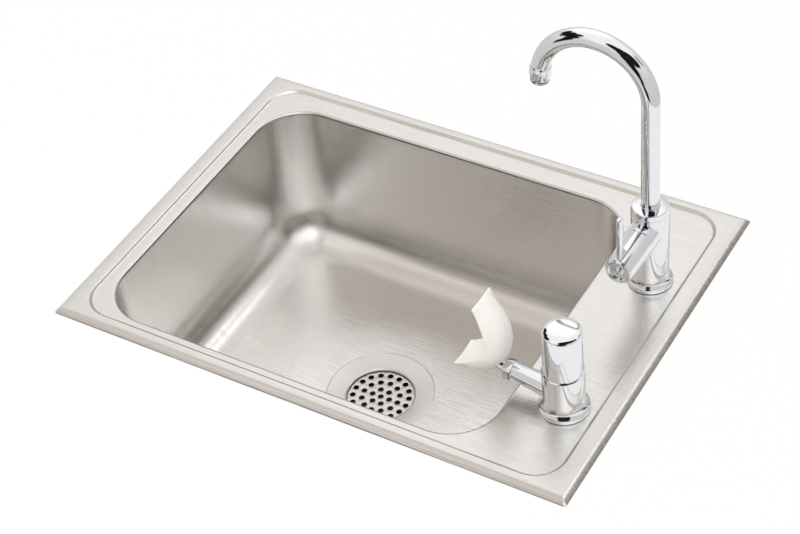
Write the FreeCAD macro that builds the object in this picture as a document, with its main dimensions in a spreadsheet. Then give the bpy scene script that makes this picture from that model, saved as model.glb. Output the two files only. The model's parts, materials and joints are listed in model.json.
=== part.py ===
import FreeCAD, Part
import math
import os

import Sketcher

# Drop-in steel sink with a gooseneck tap and a push-button drinking bubbler on its side ledge.
# Millimetres, +Z up. The origin is the middle of the rim, on the worktop that the rim rests on.
# +X points to the ledge with the fittings and +Y to the back.

SIZES = {
    # Rim and recessed field
    "rim_length": 559.0,
    "rim_width": 406.0,
    "rim_corner": 3.0,
    "rim_height": 6.0,
    "lip_run": 6.0,
    "lip_drop": 5.0,
    "lip_corner": 0.8,
    "sheet_wall": 1.2,
    "field_drop": 3.0,
    "field_inset_left": 20.0,
    "field_inset_right": 22.0,
    "field_inset_front": 15.0,
    "field_inset_back": 15.0,
    "field_corner": 30.0,
    "step_round": 1.4,
    # Bowl
    "bowl_margin_left": 13.5,
    "bowl_margin_front": 10.5,
    "bowl_margin_back": 23.5,
    "ledge_width": 82.5,
    "bowl_depth": 178.0,
    "bowl_corner": 50.0,
    "bowl_draft": 1.0,
    "bowl_cove": 44.0,
    "bowl_edge": 5.0,
    "dish_radius": 105.0,
    "dish_drop": 2.5,
    # Fixing under the worktop
    "channel_width": 6.2,
    "channel_height": 9.0,
    "channel_wall": 1.0,
    "channel_hook": 0.8,
    "channel_side_inset": 17.0,
    "channel_end_inset": 24.0,
    "channel_side_margin": 59.5,
    "channel_end_margin": 63.0,
    "clip_wall": 1.5,
    "clip_length": 12.0,
    "clip_drop": 56.0,
    "clip_foot": 17.0,
    "clip_side_margin": 129.5,
    "clip_end_margin": 108.0,
    "clip_screw_radius": 2.5,
    "clip_screw_length": 30.0,
    "clip_pad_radius": 4.0,
    "clip_pad_wall": 2.0,
    "clip_screw_inset": 5.0,
    "worktop_thickness": 38.0,
    # Drain
    "drain_forward": 13.0,
    "drain_side": 2.0,
    "drain_hole_radius": 44.5,
    "drain_flange_radius": 57.0,
    "drain_flange_wall": 2.0,
    "drain_dish_drop": 3.0,
    "drain_thread_radius": 43.5,
    "drain_thread_length": 28.0,
    "drain_wall": 2.0,
    "drain_cup_depth": 50.0,
    "drain_ledge": 3.0,
    "spud_radius": 22.5,
    "spud_length": 18.0,
    "grid_radius": 35.5,
    "grid_gap": 0.6,
    "grid_wall": 1.5,
    "grid_drop": 6.0,
    "grid_hole_radius": 3.0,
    "grid_ring_pitch": 10.0,
    "gasket_radius": 57.0,
    "gasket_wall": 3.0,
    "friction_wall": 1.0,
    "locknut_radius": 52.0,
    "locknut_height": 10.0,
    "locknut_lug": 5.0,
    "locknut_lug_width": 9.0,
    "tail_radius": 19.05,
    "tail_wall": 1.3,
    "tail_length": 102.0,
    "tail_flange_wall": 2.0,
    "tail_washer_wall": 2.0,
    "coupling_flats": 52.0,
    "coupling_lip": 4.0,
    "coupling_grip": 12.0,
    "coupling_play": 1.0,
    # Shared deck fitting sizes
    "fitting_inset": 53.5,
    "fitting_hole_radius": 17.5,
    "shank_radius": 10.4,
    "shank_bore": 6.5,
    "shank_drop": 70.0,
    "shank_grip": 12.0,
    "shank_relief_drop": 16.0,
    "shank_relief": 2.0,
    "shank_relief_radius": 9.6,
    "thread_gap": 0.1,
    "run_gap": 0.3,
    "base_gasket_wall": 1.0,
    "backing_radius": 21.0,
    "backing_wall": 3.0,
    "steel_washer_wall": 1.5,
    "deck_nut_flats": 32.0,
    "deck_nut_height": 8.0,
    # Tap
    "tap_inset": 119.0,
    "tap_radius": 18.0,
    "tap_base_radius": 21.5,
    "tap_base_height": 3.0,
    "tap_flare_top": 14.0,
    "tap_flare_round": 15.0,
    "tap_height": 90.0,
    "tap_passage": 7.0,
    "tap_chamber_radius": 11.0,
    "tap_chamber_floor": 58.0,
    "bonnet_height": 6.0,
    "bonnet_seam": 0.4,
    "bonnet_neck_radius": 14.0,
    "bonnet_neck_length": 9.0,
    "bonnet_lip": 2.5,
    "bonnet_round": 1.5,
    "bushing_wall": 3.2,
    "spout_radius": 9.0,
    "spout_wall": 1.5,
    "spout_bend_height": 216.0,
    "spout_bend": 55.0,
    "spout_sweep": 175.0,
    "spout_tail": 8.0,
    "o_ring_wall": 1.6,
    "o_ring_height": 2.0,
    "o_ring_pitch": 6.0,
    "snap_ring_wall": 1.8,
    "snap_ring_height": 1.6,
    "outlet_radius": 10.3,
    "adapter_rise": 2.0,
    "adapter_length": 7.0,
    "shell_length": 8.0,
    "shell_lip": 1.6,
    "outlet_seam": 0.3,
    "outlet_round": 1.5,
    "screen_wall": 1.0,
    # Valve and lever, measured along the valve axis from the tap's own axis
    "valve_height": 70.0,
    "boss_radius": 15.3,
    "boss_reach": 27.0,
    "valve_radius": 11.3,
    "valve_inner": 12.5,
    "valve_length": 11.5,
    "gland_length": 8.5,
    "stem_radius": 4.0,
    "stem_start": 19.0,
    "stem_setback": 19.2,
    "hub_seam": 0.5,
    "hub_reach": 70.0,
    "hub_end_radius": 13.8,
    "hub_cavity_radius": 13.2,
    "hub_cavity_depth": 9.0,
    "hub_end_round": 1.2,
    "cap_radius": 12.0,
    "cap_depth": 5.0,
    "cap_button_radius": 4.0,
    "screw_radius": 1.9,
    "screw_head_radius": 3.8,
    "screw_head_height": 3.0,
    "screw_setback": 13.0,
    "screw_length": 12.0,
    "blade_top": 62.5,
    "blade_thickness": 5.0,
    "blade_width": 7.0,
    "blade_root": 19.0,
    "blade_gusset": 26.0,
    "blade_round": 1.5,
    # Bubbler
    "bubbler_inset": 104.0,
    "bubbler_radius": 19.5,
    "bubbler_base_radius": 23.5,
    "bubbler_base_height": 3.0,
    "bubbler_flare_top": 16.0,
    "bubbler_flare_round": 20.0,
    "bubbler_height": 48.0,
    "bubbler_well_floor": 34.5,
    "push_travel": 6.0,
    "push_spare": 1.5,
    "push_radius": 18.1,
    "push_wall": 2.0,
    "push_side_top": 96.0,
    "push_crown": 3.5,
    "push_edge": 2.0,
    "push_boss_radius": 9.0,
    "push_boss_depth": 10.0,
    "core_radius": 10.0,
    "core_bottom": 14.0,
    "core_top": 58.0,
    "core_guide_radius": 8.5,
    "core_flange_radius": 13.0,
    "core_flange_wall": 3.0,
    "core_chamber_radius": 7.0,
    "core_chamber_top": 27.0,
    "plunger_radius": 3.5,
    "plunger_seal_radius": 5.8,
    "plunger_seal_height": 3.0,
    "spring_radius": 6.5,
    "spring_wire": 0.7,
    "spring_turns": 5.0,
    "arm_root_radius": 10.5,
    "arm_root_height": 17.0,
    "arm_tip_radius": 8.0,
    "arm_tip_height": 24.0,
    "arm_reach": 50.0,
    "arm_bore": 3.0,
    "arm_nut_flats": 18.0,
    "arm_nut_length": 8.0,
    "nozzle_radius": 5.2,
    "nozzle_bore": 2.5,
    "nozzle_run": 8.5,
    "nozzle_bend": 10.0,
    "nozzle_angle": 30.0,
    "nozzle_tip": 17.0,
    # Mouth guard: a scoop whose sections fan out from a line across the mouth
    "guard_reach": 106.0,
    "guard_height": 67.0,
    "guard_width": 34.0,
    "guard_wall": 2.6,
    "guard_hole_gap": 0.2,
}

# Sections of the mouth guard, from the tongue's tip to the top of the hood: the angle from straight up,
# how far the side edges lie from the fan's line, and how far the middle lies outside the side edges
GUARD_FAN = [
    (177.0, 43.5, 1.2), (164.0, 38.6, 13.2), (150.0, 36.3, 19.4), (134.0, 35.7, 21.0), (117.0, 36.7, 19.8),
    (100.0, 35.8, 19.0), (83.0, 35.1, 17.8), (67.0, 35.6, 15.4), (51.0, 38.7, 10.2), (35.4, 45.2, 2.2),
]
for rank, (angle, edge, hollow) in enumerate(GUARD_FAN):
    SIZES["guard_angle_%d" % rank] = angle
    SIZES["guard_edge_%d" % rank] = edge
    SIZES["guard_hollow_%d" % rank] = hollow


class Size:
    """A length that carries its number and the spreadsheet formula that gives it."""

    def __init__(self, number, formula):
        self.number = number
        self.formula = formula

    def __add__(self, other):
        return combine(self, "+", other, self.number + as_size(other).number)

    def __radd__(self, other):
        return as_size(other) + self

    def __sub__(self, other):
        return combine(self, "-", other, self.number - as_size(other).number)

    def __rsub__(self, other):
        return as_size(other) - self

    def __mul__(self, other):
        return combine(self, "*", other, self.number * as_size(other).number)

    def __rmul__(self, other):
        return as_size(other) * self

    def __truediv__(self, other):
        return combine(self, "/", other, self.number / as_size(other).number)

    def __neg__(self):
        return 0 - self


def as_size(thing):
    """Wraps a bare number as a size."""
    if isinstance(thing, Size):
        return thing
    return Size(float(thing), "(%r)" % float(thing))


def combine(left, sign, right, number):
    """Joins two sizes with an arithmetic sign."""
    return Size(number, "(%s %s %s)" % (as_size(left).formula, sign, as_size(right).formula))


def cosine(angle):
    """Cosine of an angle that the sheet holds in degrees."""
    return Size(math.cos(math.radians(angle.number)), "cos(%s * 1deg)" % angle.formula)


def sine(angle):
    """Sine of an angle that the sheet holds in degrees."""
    return Size(math.sin(math.radians(angle.number)), "sin(%s * 1deg)" % angle.formula)


class Dimensions:
    """The spreadsheet of driving sizes, read as attributes."""

    def __init__(self, document, table):
        self.sheet = document.addObject("Spreadsheet::Sheet", "Sizes")
        for row, (alias, number) in enumerate(table.items(), start=1):
            self.sheet.set("A%d" % row, alias)
            self.sheet.set("B%d" % row, "%r" % number)
            self.sheet.setAlias("B%d" % row, alias)
            setattr(self, alias, Size(number, "Sizes." + alias))
        document.recompute()


doc = FreeCAD.newDocument("sink")
d = Dimensions(doc, SIZES)
nodes = []


# Helpers that draw and make features

def bind(thing, prop, size):
    """Ties a property to a formula of the sheet."""
    thing.setExpression(prop, as_size(size).formula)


def place_at(thing, at, axis=None, angle=0):
    """Puts an object at a bound place, turned about an axis by a bound angle in degrees."""
    if axis is not None:
        turn = FreeCAD.Rotation(FreeCAD.Vector(*axis), as_size(angle).number)
        thing.Placement = FreeCAD.Placement(FreeCAD.Vector(), turn)
        bind(thing, "Placement.Rotation.Angle", as_size(angle))
    for name, size in zip("xyz", at):
        bind(thing, "Placement.Base." + name, size)


def new_body(label, at=(0, 0, 0), axis=None, angle=0, is_node=True):
    """An empty body at a place, noted for export under its label."""
    body = doc.addObject("PartDesign::Body", label)
    body.Label = label
    place_at(body, at, axis, angle)
    if is_node:
        nodes.append(body)
    return body


def sketch_on(body, plane, name, offset=(0, 0, 0)):
    """A sketch on one of the body's own planes, moved by sizes along the sketch's own axes."""
    sketch = body.newObject("Sketcher::SketchObject", name)
    support = [feature for feature in body.Origin.OriginFeatures if feature.Role == plane][0]
    sketch.AttachmentSupport = [(support, "")]
    sketch.MapMode = "FlatFace"
    for axis, size in zip("xyz", offset):
        bind(sketch, "AttachmentOffset.Base." + axis, size)
    return sketch


def vector(point):
    """A sketch vector at a pair of sizes."""
    return FreeCAD.Vector(as_size(point[0]).number, as_size(point[1]).number, 0)


def pin(sketch, geometry, end, point):
    """Fixes one end of a sketch edge at a pair of sizes from the sketch's origin."""
    for kind, size in zip(("DistanceX", "DistanceY"), point):
        size = as_size(size)
        index = sketch.addConstraint(Sketcher.Constraint(kind, -1, 1, geometry, end, size.number))
        sketch.setExpression("Constraints[%d]" % index, size.formula)


def add_radius(sketch, geometry, size):
    """Sets the radius of a sketch circle or arc."""
    size = as_size(size)
    index = sketch.addConstraint(Sketcher.Constraint("Radius", geometry, size.number))
    sketch.setExpression("Constraints[%d]" % index, size.formula)


def bent_edge(start, stop, radius):
    """An arc from start to stop, with its centre on the left of the way where the radius is positive."""
    chord = stop - start
    reach = math.sqrt(max(radius * radius - (chord.Length / 2) ** 2, 0.0))
    across = FreeCAD.Vector(-chord.y, chord.x, 0).normalize()
    centre = (start + stop) / 2 + across * math.copysign(reach, radius)
    circle = Part.Circle(centre, FreeCAD.Vector(0, 0, 1), abs(radius))
    if radius > 0:
        return Part.ArcOfCircle(circle, circle.parameter(start), circle.parameter(stop)), (1, 2)
    return Part.ArcOfCircle(circle, circle.parameter(stop), circle.parameter(start)), (2, 1)


def draw(sketch, points, closed=True):
    """Draws edges from point to point. A third entry is the signed radius of the arc that leaves a point."""
    count = len(points) if closed else len(points) - 1
    edges = []
    for index in range(count):
        start = vector(points[index])
        stop = vector(points[(index + 1) % len(points)])
        edge, ends = Part.LineSegment(start, stop), (1, 2)
        if len(points[index]) == 3:
            edge, ends = bent_edge(start, stop, as_size(points[index][2]).number)
        edges.append((sketch.addGeometry(edge, False), ends))
    for index in range(count if closed else count - 1):
        here, there = edges[index], edges[(index + 1) % count]
        sketch.addConstraint(Sketcher.Constraint("Coincident", here[0], here[1][1], there[0], there[1][0]))
    for point, (geometry, ends) in zip(points, edges):
        pin(sketch, geometry, ends[0], point[:2])
        if len(point) == 3:
            radius = as_size(point[2])
            add_radius(sketch, geometry, radius if radius.number > 0 else -radius)
    if not closed:
        pin(sketch, edges[-1][0], edges[-1][1][1], points[-1])


def draw_circle(sketch, centre, radius):
    """Draws a circle with a bound centre and radius."""
    circle = Part.Circle(vector(centre), FreeCAD.Vector(0, 0, 1), as_size(radius).number)
    geometry = sketch.addGeometry(circle, False)
    pin(sketch, geometry, 3, centre)
    add_radius(sketch, geometry, radius)


def draw_rounded(sketch, left, right, front, back, corner):
    """Draws a rectangle with round corners."""
    draw(sketch, [
        (left + corner, front), (right - corner, front, corner),
        (right, front + corner), (right, back - corner, corner),
        (right - corner, back), (left + corner, back, corner),
        (left, back - corner), (left, front + corner, corner),
    ])


def draw_hexagon(sketch, flats):
    """Draws a hexagon of a given width across its flats, centred on the sketch's origin."""
    corner = flats / math.sqrt(3)
    angles = [math.radians(60 * step) for step in range(6)]
    draw(sketch, [(corner * math.cos(angle), corner * math.sin(angle)) for angle in angles])


def extrude(body, sketch, length, reverse=False, draft=None, cut=False):
    """Thickens a sketch into the solid, or cuts it out and makes sure that something was cut."""
    before = body.Shape.Volume if cut else 0
    kind = "Pocket" if cut else "Pad"
    feature = body.newObject("PartDesign::" + kind, "%s_%s" % (sketch.Name, kind.lower()))
    feature.Profile = sketch
    bind(feature, "Length", length)
    feature.Reversed = reverse
    if draft is not None:
        bind(feature, "TaperAngle", draft)
    doc.recompute()
    if cut and not body.Shape.Volume < before:
        raise RuntimeError("the cut %s removes nothing" % feature.Name)
    return feature


def revolve(body, sketch, cut=False):
    """Turns a sketch about its vertical axis, as material or as a cut."""
    before = body.Shape.Volume if cut else 0
    kind = "Groove" if cut else "Revolution"
    feature = body.newObject("PartDesign::" + kind, "%s_%s" % (sketch.Name, kind.lower()))
    feature.Profile = sketch
    feature.ReferenceAxis = (sketch, ["V_Axis"])
    feature.Angle = 360
    doc.recompute()
    if cut and not body.Shape.Volume < before:
        raise RuntimeError("the cut %s removes nothing" % feature.Name)
    return feature


def dress(body, kind, sizes, wanted):
    """Rounds or bevels the edges of the body's tip that a test picks."""
    tip = body.Tip
    names = ["Edge%d" % number for number, edge in enumerate(tip.Shape.Edges, start=1) if wanted(edge)]
    if not names:
        raise RuntimeError("no edge to dress on " + body.Label)
    feature = body.newObject("PartDesign::" + kind, "%s_%s_%d" % (body.Label, kind.lower(), len(body.Group)))
    feature.Base = (tip, names)
    if "Size2" in sizes:
        feature.ChamferType = "Two distances"
    for prop, size in sizes.items():
        bind(feature, prop, size)
    doc.recompute()
    return feature


def polar(body, feature, count):
    """Repeats a feature evenly about the body's vertical axis."""
    pattern = body.newObject("PartDesign::PolarPattern", feature.Name + "_ring")
    pattern.Originals = [feature]
    pattern.Axis = (feature.Profile[0], ["N_Axis"])
    pattern.Angle = 360
    pattern.Occurrences = count
    body.Tip = pattern
    doc.recompute()
    return pattern


def sweep(body, path_plane, path, section_plane, section_offset, draw_section):
    """Carries a section along an open path of lines and arcs."""
    spine = sketch_on(body, path_plane, body.Label + "_path")
    draw(spine, path, closed=False)
    section = sketch_on(body, section_plane, body.Label + "_section", section_offset)
    draw_section(section)
    doc.recompute()
    feature = body.newObject("PartDesign::AdditivePipe", body.Label + "_sweep")
    feature.Profile = section
    feature.Spine = spine
    doc.recompute()
    return feature


def turned(label, profile, at, axis=None, angle=0, is_node=True):
    """A body turned from an (r, z) outline about its own vertical axis."""
    body = new_body(label, at, axis, angle, is_node)
    sketch = sketch_on(body, "XZ_Plane", label + "_profile")
    draw(sketch, profile)
    revolve(body, sketch)
    return body


def ring(label, inner, outer, bottom, height, at, is_node=True):
    """A plain flat ring."""
    return turned(label, [(inner, bottom), (outer, bottom), (outer, bottom + height),
                          (inner, bottom + height)], at, is_node=is_node)


def hex_nut(label, flats, bore, bottom, height, at, axis=None, angle=0):
    """A plain hexagon nut standing on its bottom face."""
    body = new_body(label, at, axis, angle)
    sketch = sketch_on(body, "XY_Plane", label + "_outline", (0, 0, bottom))
    draw_hexagon(sketch, flats)
    draw_circle(sketch, (0, 0), bore)
    extrude(body, sketch, height)
    return body


def group(label, pieces):
    """One node of several separate solids; each entry is a piece, a place and a turn about the vertical."""
    links = []
    for index, (piece, at, angle) in enumerate(pieces, start=1):
        link = doc.addObject("App::Link", "%s_%d" % (label, index))
        link.LinkedObject = piece
        place_at(link, at, (0, 0, 1), angle)
        links.append(link)
    compound = doc.addObject("Part::Compound", label)
    compound.Label = label
    compound.Links = links
    nodes.append(compound)
    return compound


def near(value, size):
    """True where a measured value meets a size."""
    return abs(value - as_size(size).number) < 0.02


def flat_at(edge, height):
    """True for an edge that lies wholly at one height."""
    return near(edge.BoundBox.ZMin, height) and near(edge.BoundBox.ZMax, height)


def within(edge, outline, margin=0.05):
    """True for an edge inside the box of an outline given as left, right, front, back and corner."""
    left, right, front, back = [as_size(side).number for side in outline[:4]]
    box = edge.BoundBox
    inside_x = box.XMin > left - margin and box.XMax < right + margin
    return inside_x and box.YMin > front - margin and box.YMax < back + margin


def grown(outline, by):
    """An outline moved outwards by a size, with its corners concentric."""
    left, right, front, back, corner = outline
    return (left - by, right + by, front - by, back + by, corner + by)


# Places that several pieces share

wall = d.sheet_wall
field_z = d.rim_height - d.field_drop
floor_z = field_z - d.bowl_depth
rim_outline = (-d.rim_length / 2, d.rim_length / 2, -d.rim_width / 2, d.rim_width / 2, d.rim_corner)
rim_left, rim_right, rim_front, rim_back = rim_outline[:4]
field_outline = (rim_left + d.field_inset_left, rim_right - d.field_inset_right,
                 rim_front + d.field_inset_front, rim_back - d.field_inset_back, d.field_corner)
field_left, field_right, field_front, field_back = field_outline[:4]
bowl_outline = (field_left + d.bowl_margin_left, field_right - d.ledge_width,
                field_front + d.bowl_margin_front, field_back - d.bowl_margin_back, d.bowl_corner)
bowl_left, bowl_right, bowl_front, bowl_back = bowl_outline[:4]
drain_at = ((bowl_left + bowl_right) / 2 + d.drain_side,
            (bowl_front + bowl_back) / 2 - d.drain_forward, floor_z)
fitting_x = rim_right - d.fitting_inset
tap_at = (fitting_x, rim_back - d.tap_inset, field_z)
bubbler_at = (fitting_x, rim_front + d.bubbler_inset, field_z)
drain_top = -d.dish_drop
drain_seat = drain_top - d.drain_flange_wall
body_bottom = d.base_gasket_wall
socket_radius = d.shank_radius + d.thread_gap
socket_top = body_bottom + d.shank_grip
TOWARD_FRONT = ((1, 0, 0), 90)
TOWARD_BOWL = ((0, 1, 0), -90)
SPRING_STEPS = 10


# Sink basin: a drawn sheet with a raised border, a recessed field, a ledge and a deep bowl

def sink_basin():
    body = new_body("sink_basin")
    lip_seat = d.lip_run + wall
    seat_inside = (rim_left + lip_seat, rim_right - lip_seat, rim_front + lip_seat, rim_back - lip_seat,
                   d.rim_corner)
    shell_outline = grown(bowl_outline, wall)

    plate = sketch_on(body, "XY_Plane", "rim_plate")
    draw_rounded(plate, *rim_outline)
    extrude(body, plate, d.rim_height - d.lip_drop)
    lip_foot = sketch_on(body, "XY_Plane", "lip_foot", (0, 0, d.rim_height - d.lip_drop))
    draw_rounded(lip_foot, *rim_outline)
    lip_top = sketch_on(body, "XY_Plane", "lip_top", (0, 0, d.rim_height))
    draw_rounded(lip_top, rim_left + d.lip_run, rim_right - d.lip_run, rim_front + d.lip_run,
                 rim_back - d.lip_run, d.lip_corner)
    doc.recompute()
    lip = body.newObject("PartDesign::AdditiveLoft", "lip")
    lip.Profile = lip_foot
    lip.Sections = [lip_top]
    lip.Ruled = True
    doc.recompute()

    border = sketch_on(body, "XY_Plane", "border_hollow")
    draw_rounded(border, *seat_inside)
    draw_rounded(border, *grown(field_outline, wall))
    extrude(body, border, d.rim_height - wall, reverse=True, cut=True)
    hollow = sketch_on(body, "XY_Plane", "field_hollow")
    draw_rounded(hollow, *seat_inside)
    extrude(body, hollow, field_z - wall, reverse=True, cut=True)
    field = sketch_on(body, "XY_Plane", "field", (0, 0, d.rim_height))
    draw_rounded(field, *field_outline)
    extrude(body, field, d.field_drop, cut=True)

    shell = sketch_on(body, "XY_Plane", "bowl_shell", (0, 0, field_z - wall))
    draw_rounded(shell, *shell_outline)
    extrude(body, shell, d.bowl_depth, reverse=True, draft=-d.bowl_draft)
    bowl = sketch_on(body, "XY_Plane", "bowl", (0, 0, field_z))
    draw_rounded(bowl, *bowl_outline)
    extrude(body, bowl, d.bowl_depth, draft=-d.bowl_draft, cut=True)

    dress(body, "Fillet", {"Radius": d.bowl_cove}, lambda edge: flat_at(edge, floor_z))
    dress(body, "Fillet", {"Radius": d.bowl_cove + wall}, lambda edge: flat_at(edge, floor_z - wall))
    dress(body, "Fillet", {"Radius": d.bowl_edge - wall},
          lambda edge: flat_at(edge, field_z - wall) and within(edge, shell_outline))
    dress(body, "Fillet", {"Radius": d.bowl_edge},
          lambda edge: flat_at(edge, field_z) and within(edge, bowl_outline))
    dress(body, "Fillet", {"Radius": d.step_round},
          lambda edge: flat_at(edge, d.rim_height) and within(edge, field_outline))
    dress(body, "Fillet", {"Radius": d.step_round},
          lambda edge: flat_at(edge, field_z) and not within(edge, grown(bowl_outline, d.bowl_edge)))

    drain_offset = (drain_at[0], drain_at[2], -drain_at[1])
    recess = d.drain_flange_radius + d.run_gap
    dish_run = d.dish_radius - recess
    dish_bend = (dish_run * dish_run + d.dish_drop * d.dish_drop) / (2 * d.dish_drop)
    well = sketch_on(body, "XZ_Plane", "drain_well", drain_offset)
    draw(well, [
        (d.drain_hole_radius, drain_seat), (d.drain_hole_radius, drain_seat - wall),
        (recess + wall, drain_seat - wall), (recess + wall, drain_top - wall, -dish_bend),
        (d.dish_radius, -wall), (d.dish_radius, 0, dish_bend),
        (recess, drain_top), (recess, drain_seat),
    ])
    revolve(body, well)
    opening = sketch_on(body, "XZ_Plane", "drain_opening", drain_offset)
    draw(opening, [
        (0, wall), (0, drain_seat - 2 * wall), (d.drain_hole_radius, drain_seat - 2 * wall),
        (d.drain_hole_radius, drain_seat), (recess, drain_seat), (recess, drain_top, -dish_bend),
        (d.dish_radius, 0), (d.dish_radius, wall),
    ])
    revolve(body, opening, cut=True)

    holes = sketch_on(body, "XY_Plane", "fitting_holes", (0, 0, field_z))
    draw_circle(holes, tap_at[:2], d.fitting_hole_radius)
    draw_circle(holes, bubbler_at[:2], d.fitting_hole_radius)
    extrude(body, holes, 2 * field_z, cut=True)


# Channels welded under the rim, with the clips and screws that pull the sink down on the worktop

def mounting():
    top = field_z - wall
    half = d.channel_width / 2
    lip = half - d.channel_wall
    hook_top = -d.channel_height + d.channel_wall

    def channel(label, length):
        body = new_body(label, is_node=False)
        sketch = sketch_on(body, "YZ_Plane", label + "_outline", (0, 0, -length / 2))
        draw(sketch, [
            (-half, 0), (-half, -d.channel_height), (-lip + d.channel_hook, -d.channel_height),
            (-lip + d.channel_hook, hook_top), (-lip, hook_top), (-lip, -d.channel_wall),
            (lip, -d.channel_wall), (lip, hook_top), (lip - d.channel_hook, hook_top),
            (lip - d.channel_hook, -d.channel_height), (half, -d.channel_height), (half, 0),
        ])
        extrude(body, sketch, length)
        return body

    def clip():
        body = new_body("clip_form", is_node=False)
        sketch = sketch_on(body, "YZ_Plane", "clip_outline", (0, 0, -d.clip_length / 2))
        head = lip - d.run_gap
        stem = d.clip_wall / 2
        draw(sketch, [
            (-head, hook_top + d.clip_wall), (-head, hook_top), (-stem, hook_top), (-stem, -d.clip_drop),
            (d.clip_foot, -d.clip_drop), (d.clip_foot, -d.clip_drop + d.clip_wall),
            (stem, -d.clip_drop + d.clip_wall), (stem, hook_top), (head, hook_top),
            (head, hook_top + d.clip_wall),
        ])
        extrude(body, sketch, d.clip_length)
        hole = sketch_on(body, "XY_Plane", "clip_hole", (0, 0, -d.clip_drop))
        draw_circle(hole, (0, d.clip_foot - d.clip_screw_inset), d.clip_screw_radius + d.thread_gap)
        extrude(body, hole, d.clip_wall, reverse=True, cut=True)
        return body

    def screw():
        tip = -d.worktop_thickness - top
        inset = d.clip_foot - d.clip_screw_inset
        body = new_body("clip_screw_form", is_node=False)
        sketch = sketch_on(body, "XZ_Plane", "clip_screw_profile", (0, 0, -inset))
        draw(sketch, [
            (0, tip), (0, tip - d.clip_screw_length), (d.clip_screw_radius, tip - d.clip_screw_length),
            (d.clip_screw_radius, tip - d.clip_pad_wall), (d.clip_pad_radius, tip - d.clip_pad_wall),
            (d.clip_pad_radius, tip),
        ])
        revolve(body, sketch)
        return body

    front = rim_front + d.channel_side_inset
    back = rim_back - d.channel_side_inset
    left = rim_left + d.channel_end_inset
    right = rim_right - d.channel_end_inset
    side_channel = channel("side_channel_form", d.rim_length - 2 * d.channel_side_margin)
    end_channel = channel("end_channel_form", d.rim_width - 2 * d.channel_end_margin)
    group("mounting_channels", [
        (side_channel, (0, front, top), 180), (side_channel, (0, back, top), 0),
        (end_channel, (left, 0, top), 90), (end_channel, (right, 0, top), -90),
    ])
    side_step = rim_right - d.clip_side_margin
    end_step = rim_back - d.clip_end_margin
    places = [((-side_step, front, top), 180), ((side_step, front, top), 180),
              ((-side_step, back, top), 0), ((side_step, back, top), 0),
              ((left, -end_step, top), 90), ((left, end_step, top), 90),
              ((right, -end_step, top), -90), ((right, end_step, top), -90)]
    clip_form = clip()
    screw_form = screw()
    group("hold_down_clips", [(clip_form, at, angle) for at, angle in places])
    group("clip_screws", [(screw_form, at, angle) for at, angle in places])


# Drain: flanged body, perforated grid, seals, locknut and tailpiece

def drain():
    cup = d.grid_radius + d.grid_gap
    ledge = cup - d.drain_ledge
    bore = d.tail_radius - d.tail_wall
    grid_seat = drain_top - d.grid_drop - d.grid_wall
    neck_bottom = drain_seat - d.drain_thread_length
    neck_inside = d.drain_thread_radius - d.drain_wall
    cup_floor = -d.drain_cup_depth
    spud_bottom = cup_floor - d.spud_length
    turned("drain_body", [
        (d.drain_flange_radius, drain_seat), (d.drain_flange_radius, drain_top),
        (cup, drain_top - d.drain_dish_drop), (cup, grid_seat), (ledge, grid_seat),
        (ledge, grid_seat - d.drain_wall), (neck_inside, grid_seat - d.drain_wall - d.drain_ledge),
        (neck_inside, neck_bottom), (bore, cup_floor), (bore, spud_bottom), (d.spud_radius, spud_bottom),
        (d.spud_radius, cup_floor - d.drain_wall), (d.drain_thread_radius, neck_bottom - d.drain_wall),
        (d.drain_thread_radius, drain_seat),
    ], drain_at)

    grid = new_body("strainer_grid", drain_at)
    disc = sketch_on(grid, "XY_Plane", "grid_disc", (0, 0, grid_seat))
    draw_circle(disc, (0, 0), d.grid_radius)
    extrude(grid, disc, d.grid_wall)
    for row in range(4):
        hole = sketch_on(grid, "XY_Plane", "grid_hole_%d" % row, (0, 0, grid_seat))
        draw_circle(hole, (d.grid_ring_pitch * row, 0), d.grid_hole_radius)
        cut = extrude(grid, hole, d.grid_wall, reverse=True, cut=True)
        if row:
            polar(grid, cut, 6 * row)

    under = drain_seat - wall
    neck_gap = d.drain_thread_radius + d.run_gap
    ring("drain_gasket", neck_gap, d.gasket_radius, under - d.gasket_wall, d.gasket_wall, drain_at)
    under = under - d.gasket_wall
    ring("friction_washer", neck_gap, d.gasket_radius, under - d.friction_wall, d.friction_wall, drain_at)
    under = under - d.friction_wall
    nut = ring("drain_locknut", d.drain_thread_radius + d.thread_gap, d.locknut_radius,
               under - d.locknut_height, d.locknut_height, drain_at)
    lug = sketch_on(nut, "XY_Plane", "locknut_lug", (0, 0, under - d.locknut_height))
    lug_half = d.locknut_lug_width / 2
    draw(lug, [(d.locknut_radius - wall, -lug_half), (d.locknut_radius + d.locknut_lug, -lug_half),
               (d.locknut_radius + d.locknut_lug, lug_half), (d.locknut_radius - wall, lug_half)])
    polar(nut, extrude(nut, lug, d.locknut_height), 8)

    ring("tailpiece_washer", bore, d.spud_radius, spud_bottom - d.tail_washer_wall, d.tail_washer_wall,
         drain_at)
    tail_top = spud_bottom - d.tail_washer_wall
    tail_neck = tail_top - d.tail_flange_wall
    turned("tailpiece", [
        (bore, tail_top), (bore, tail_top - d.tail_length), (d.tail_radius, tail_top - d.tail_length),
        (d.tail_radius, tail_neck), (d.spud_radius, tail_neck), (d.spud_radius, tail_top),
    ], drain_at)
    nut_bottom = tail_neck - d.coupling_lip
    coupling = hex_nut("coupling_nut", d.coupling_flats, d.tail_radius + d.coupling_play, nut_bottom,
                       spud_bottom + d.coupling_grip - nut_bottom, drain_at)
    thread = sketch_on(coupling, "XY_Plane", "coupling_thread", (0, 0, tail_neck))
    draw_circle(thread, (0, 0), d.spud_radius + d.thread_gap)
    extrude(coupling, thread, spud_bottom + d.coupling_grip - tail_neck, reverse=True, cut=True)


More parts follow.
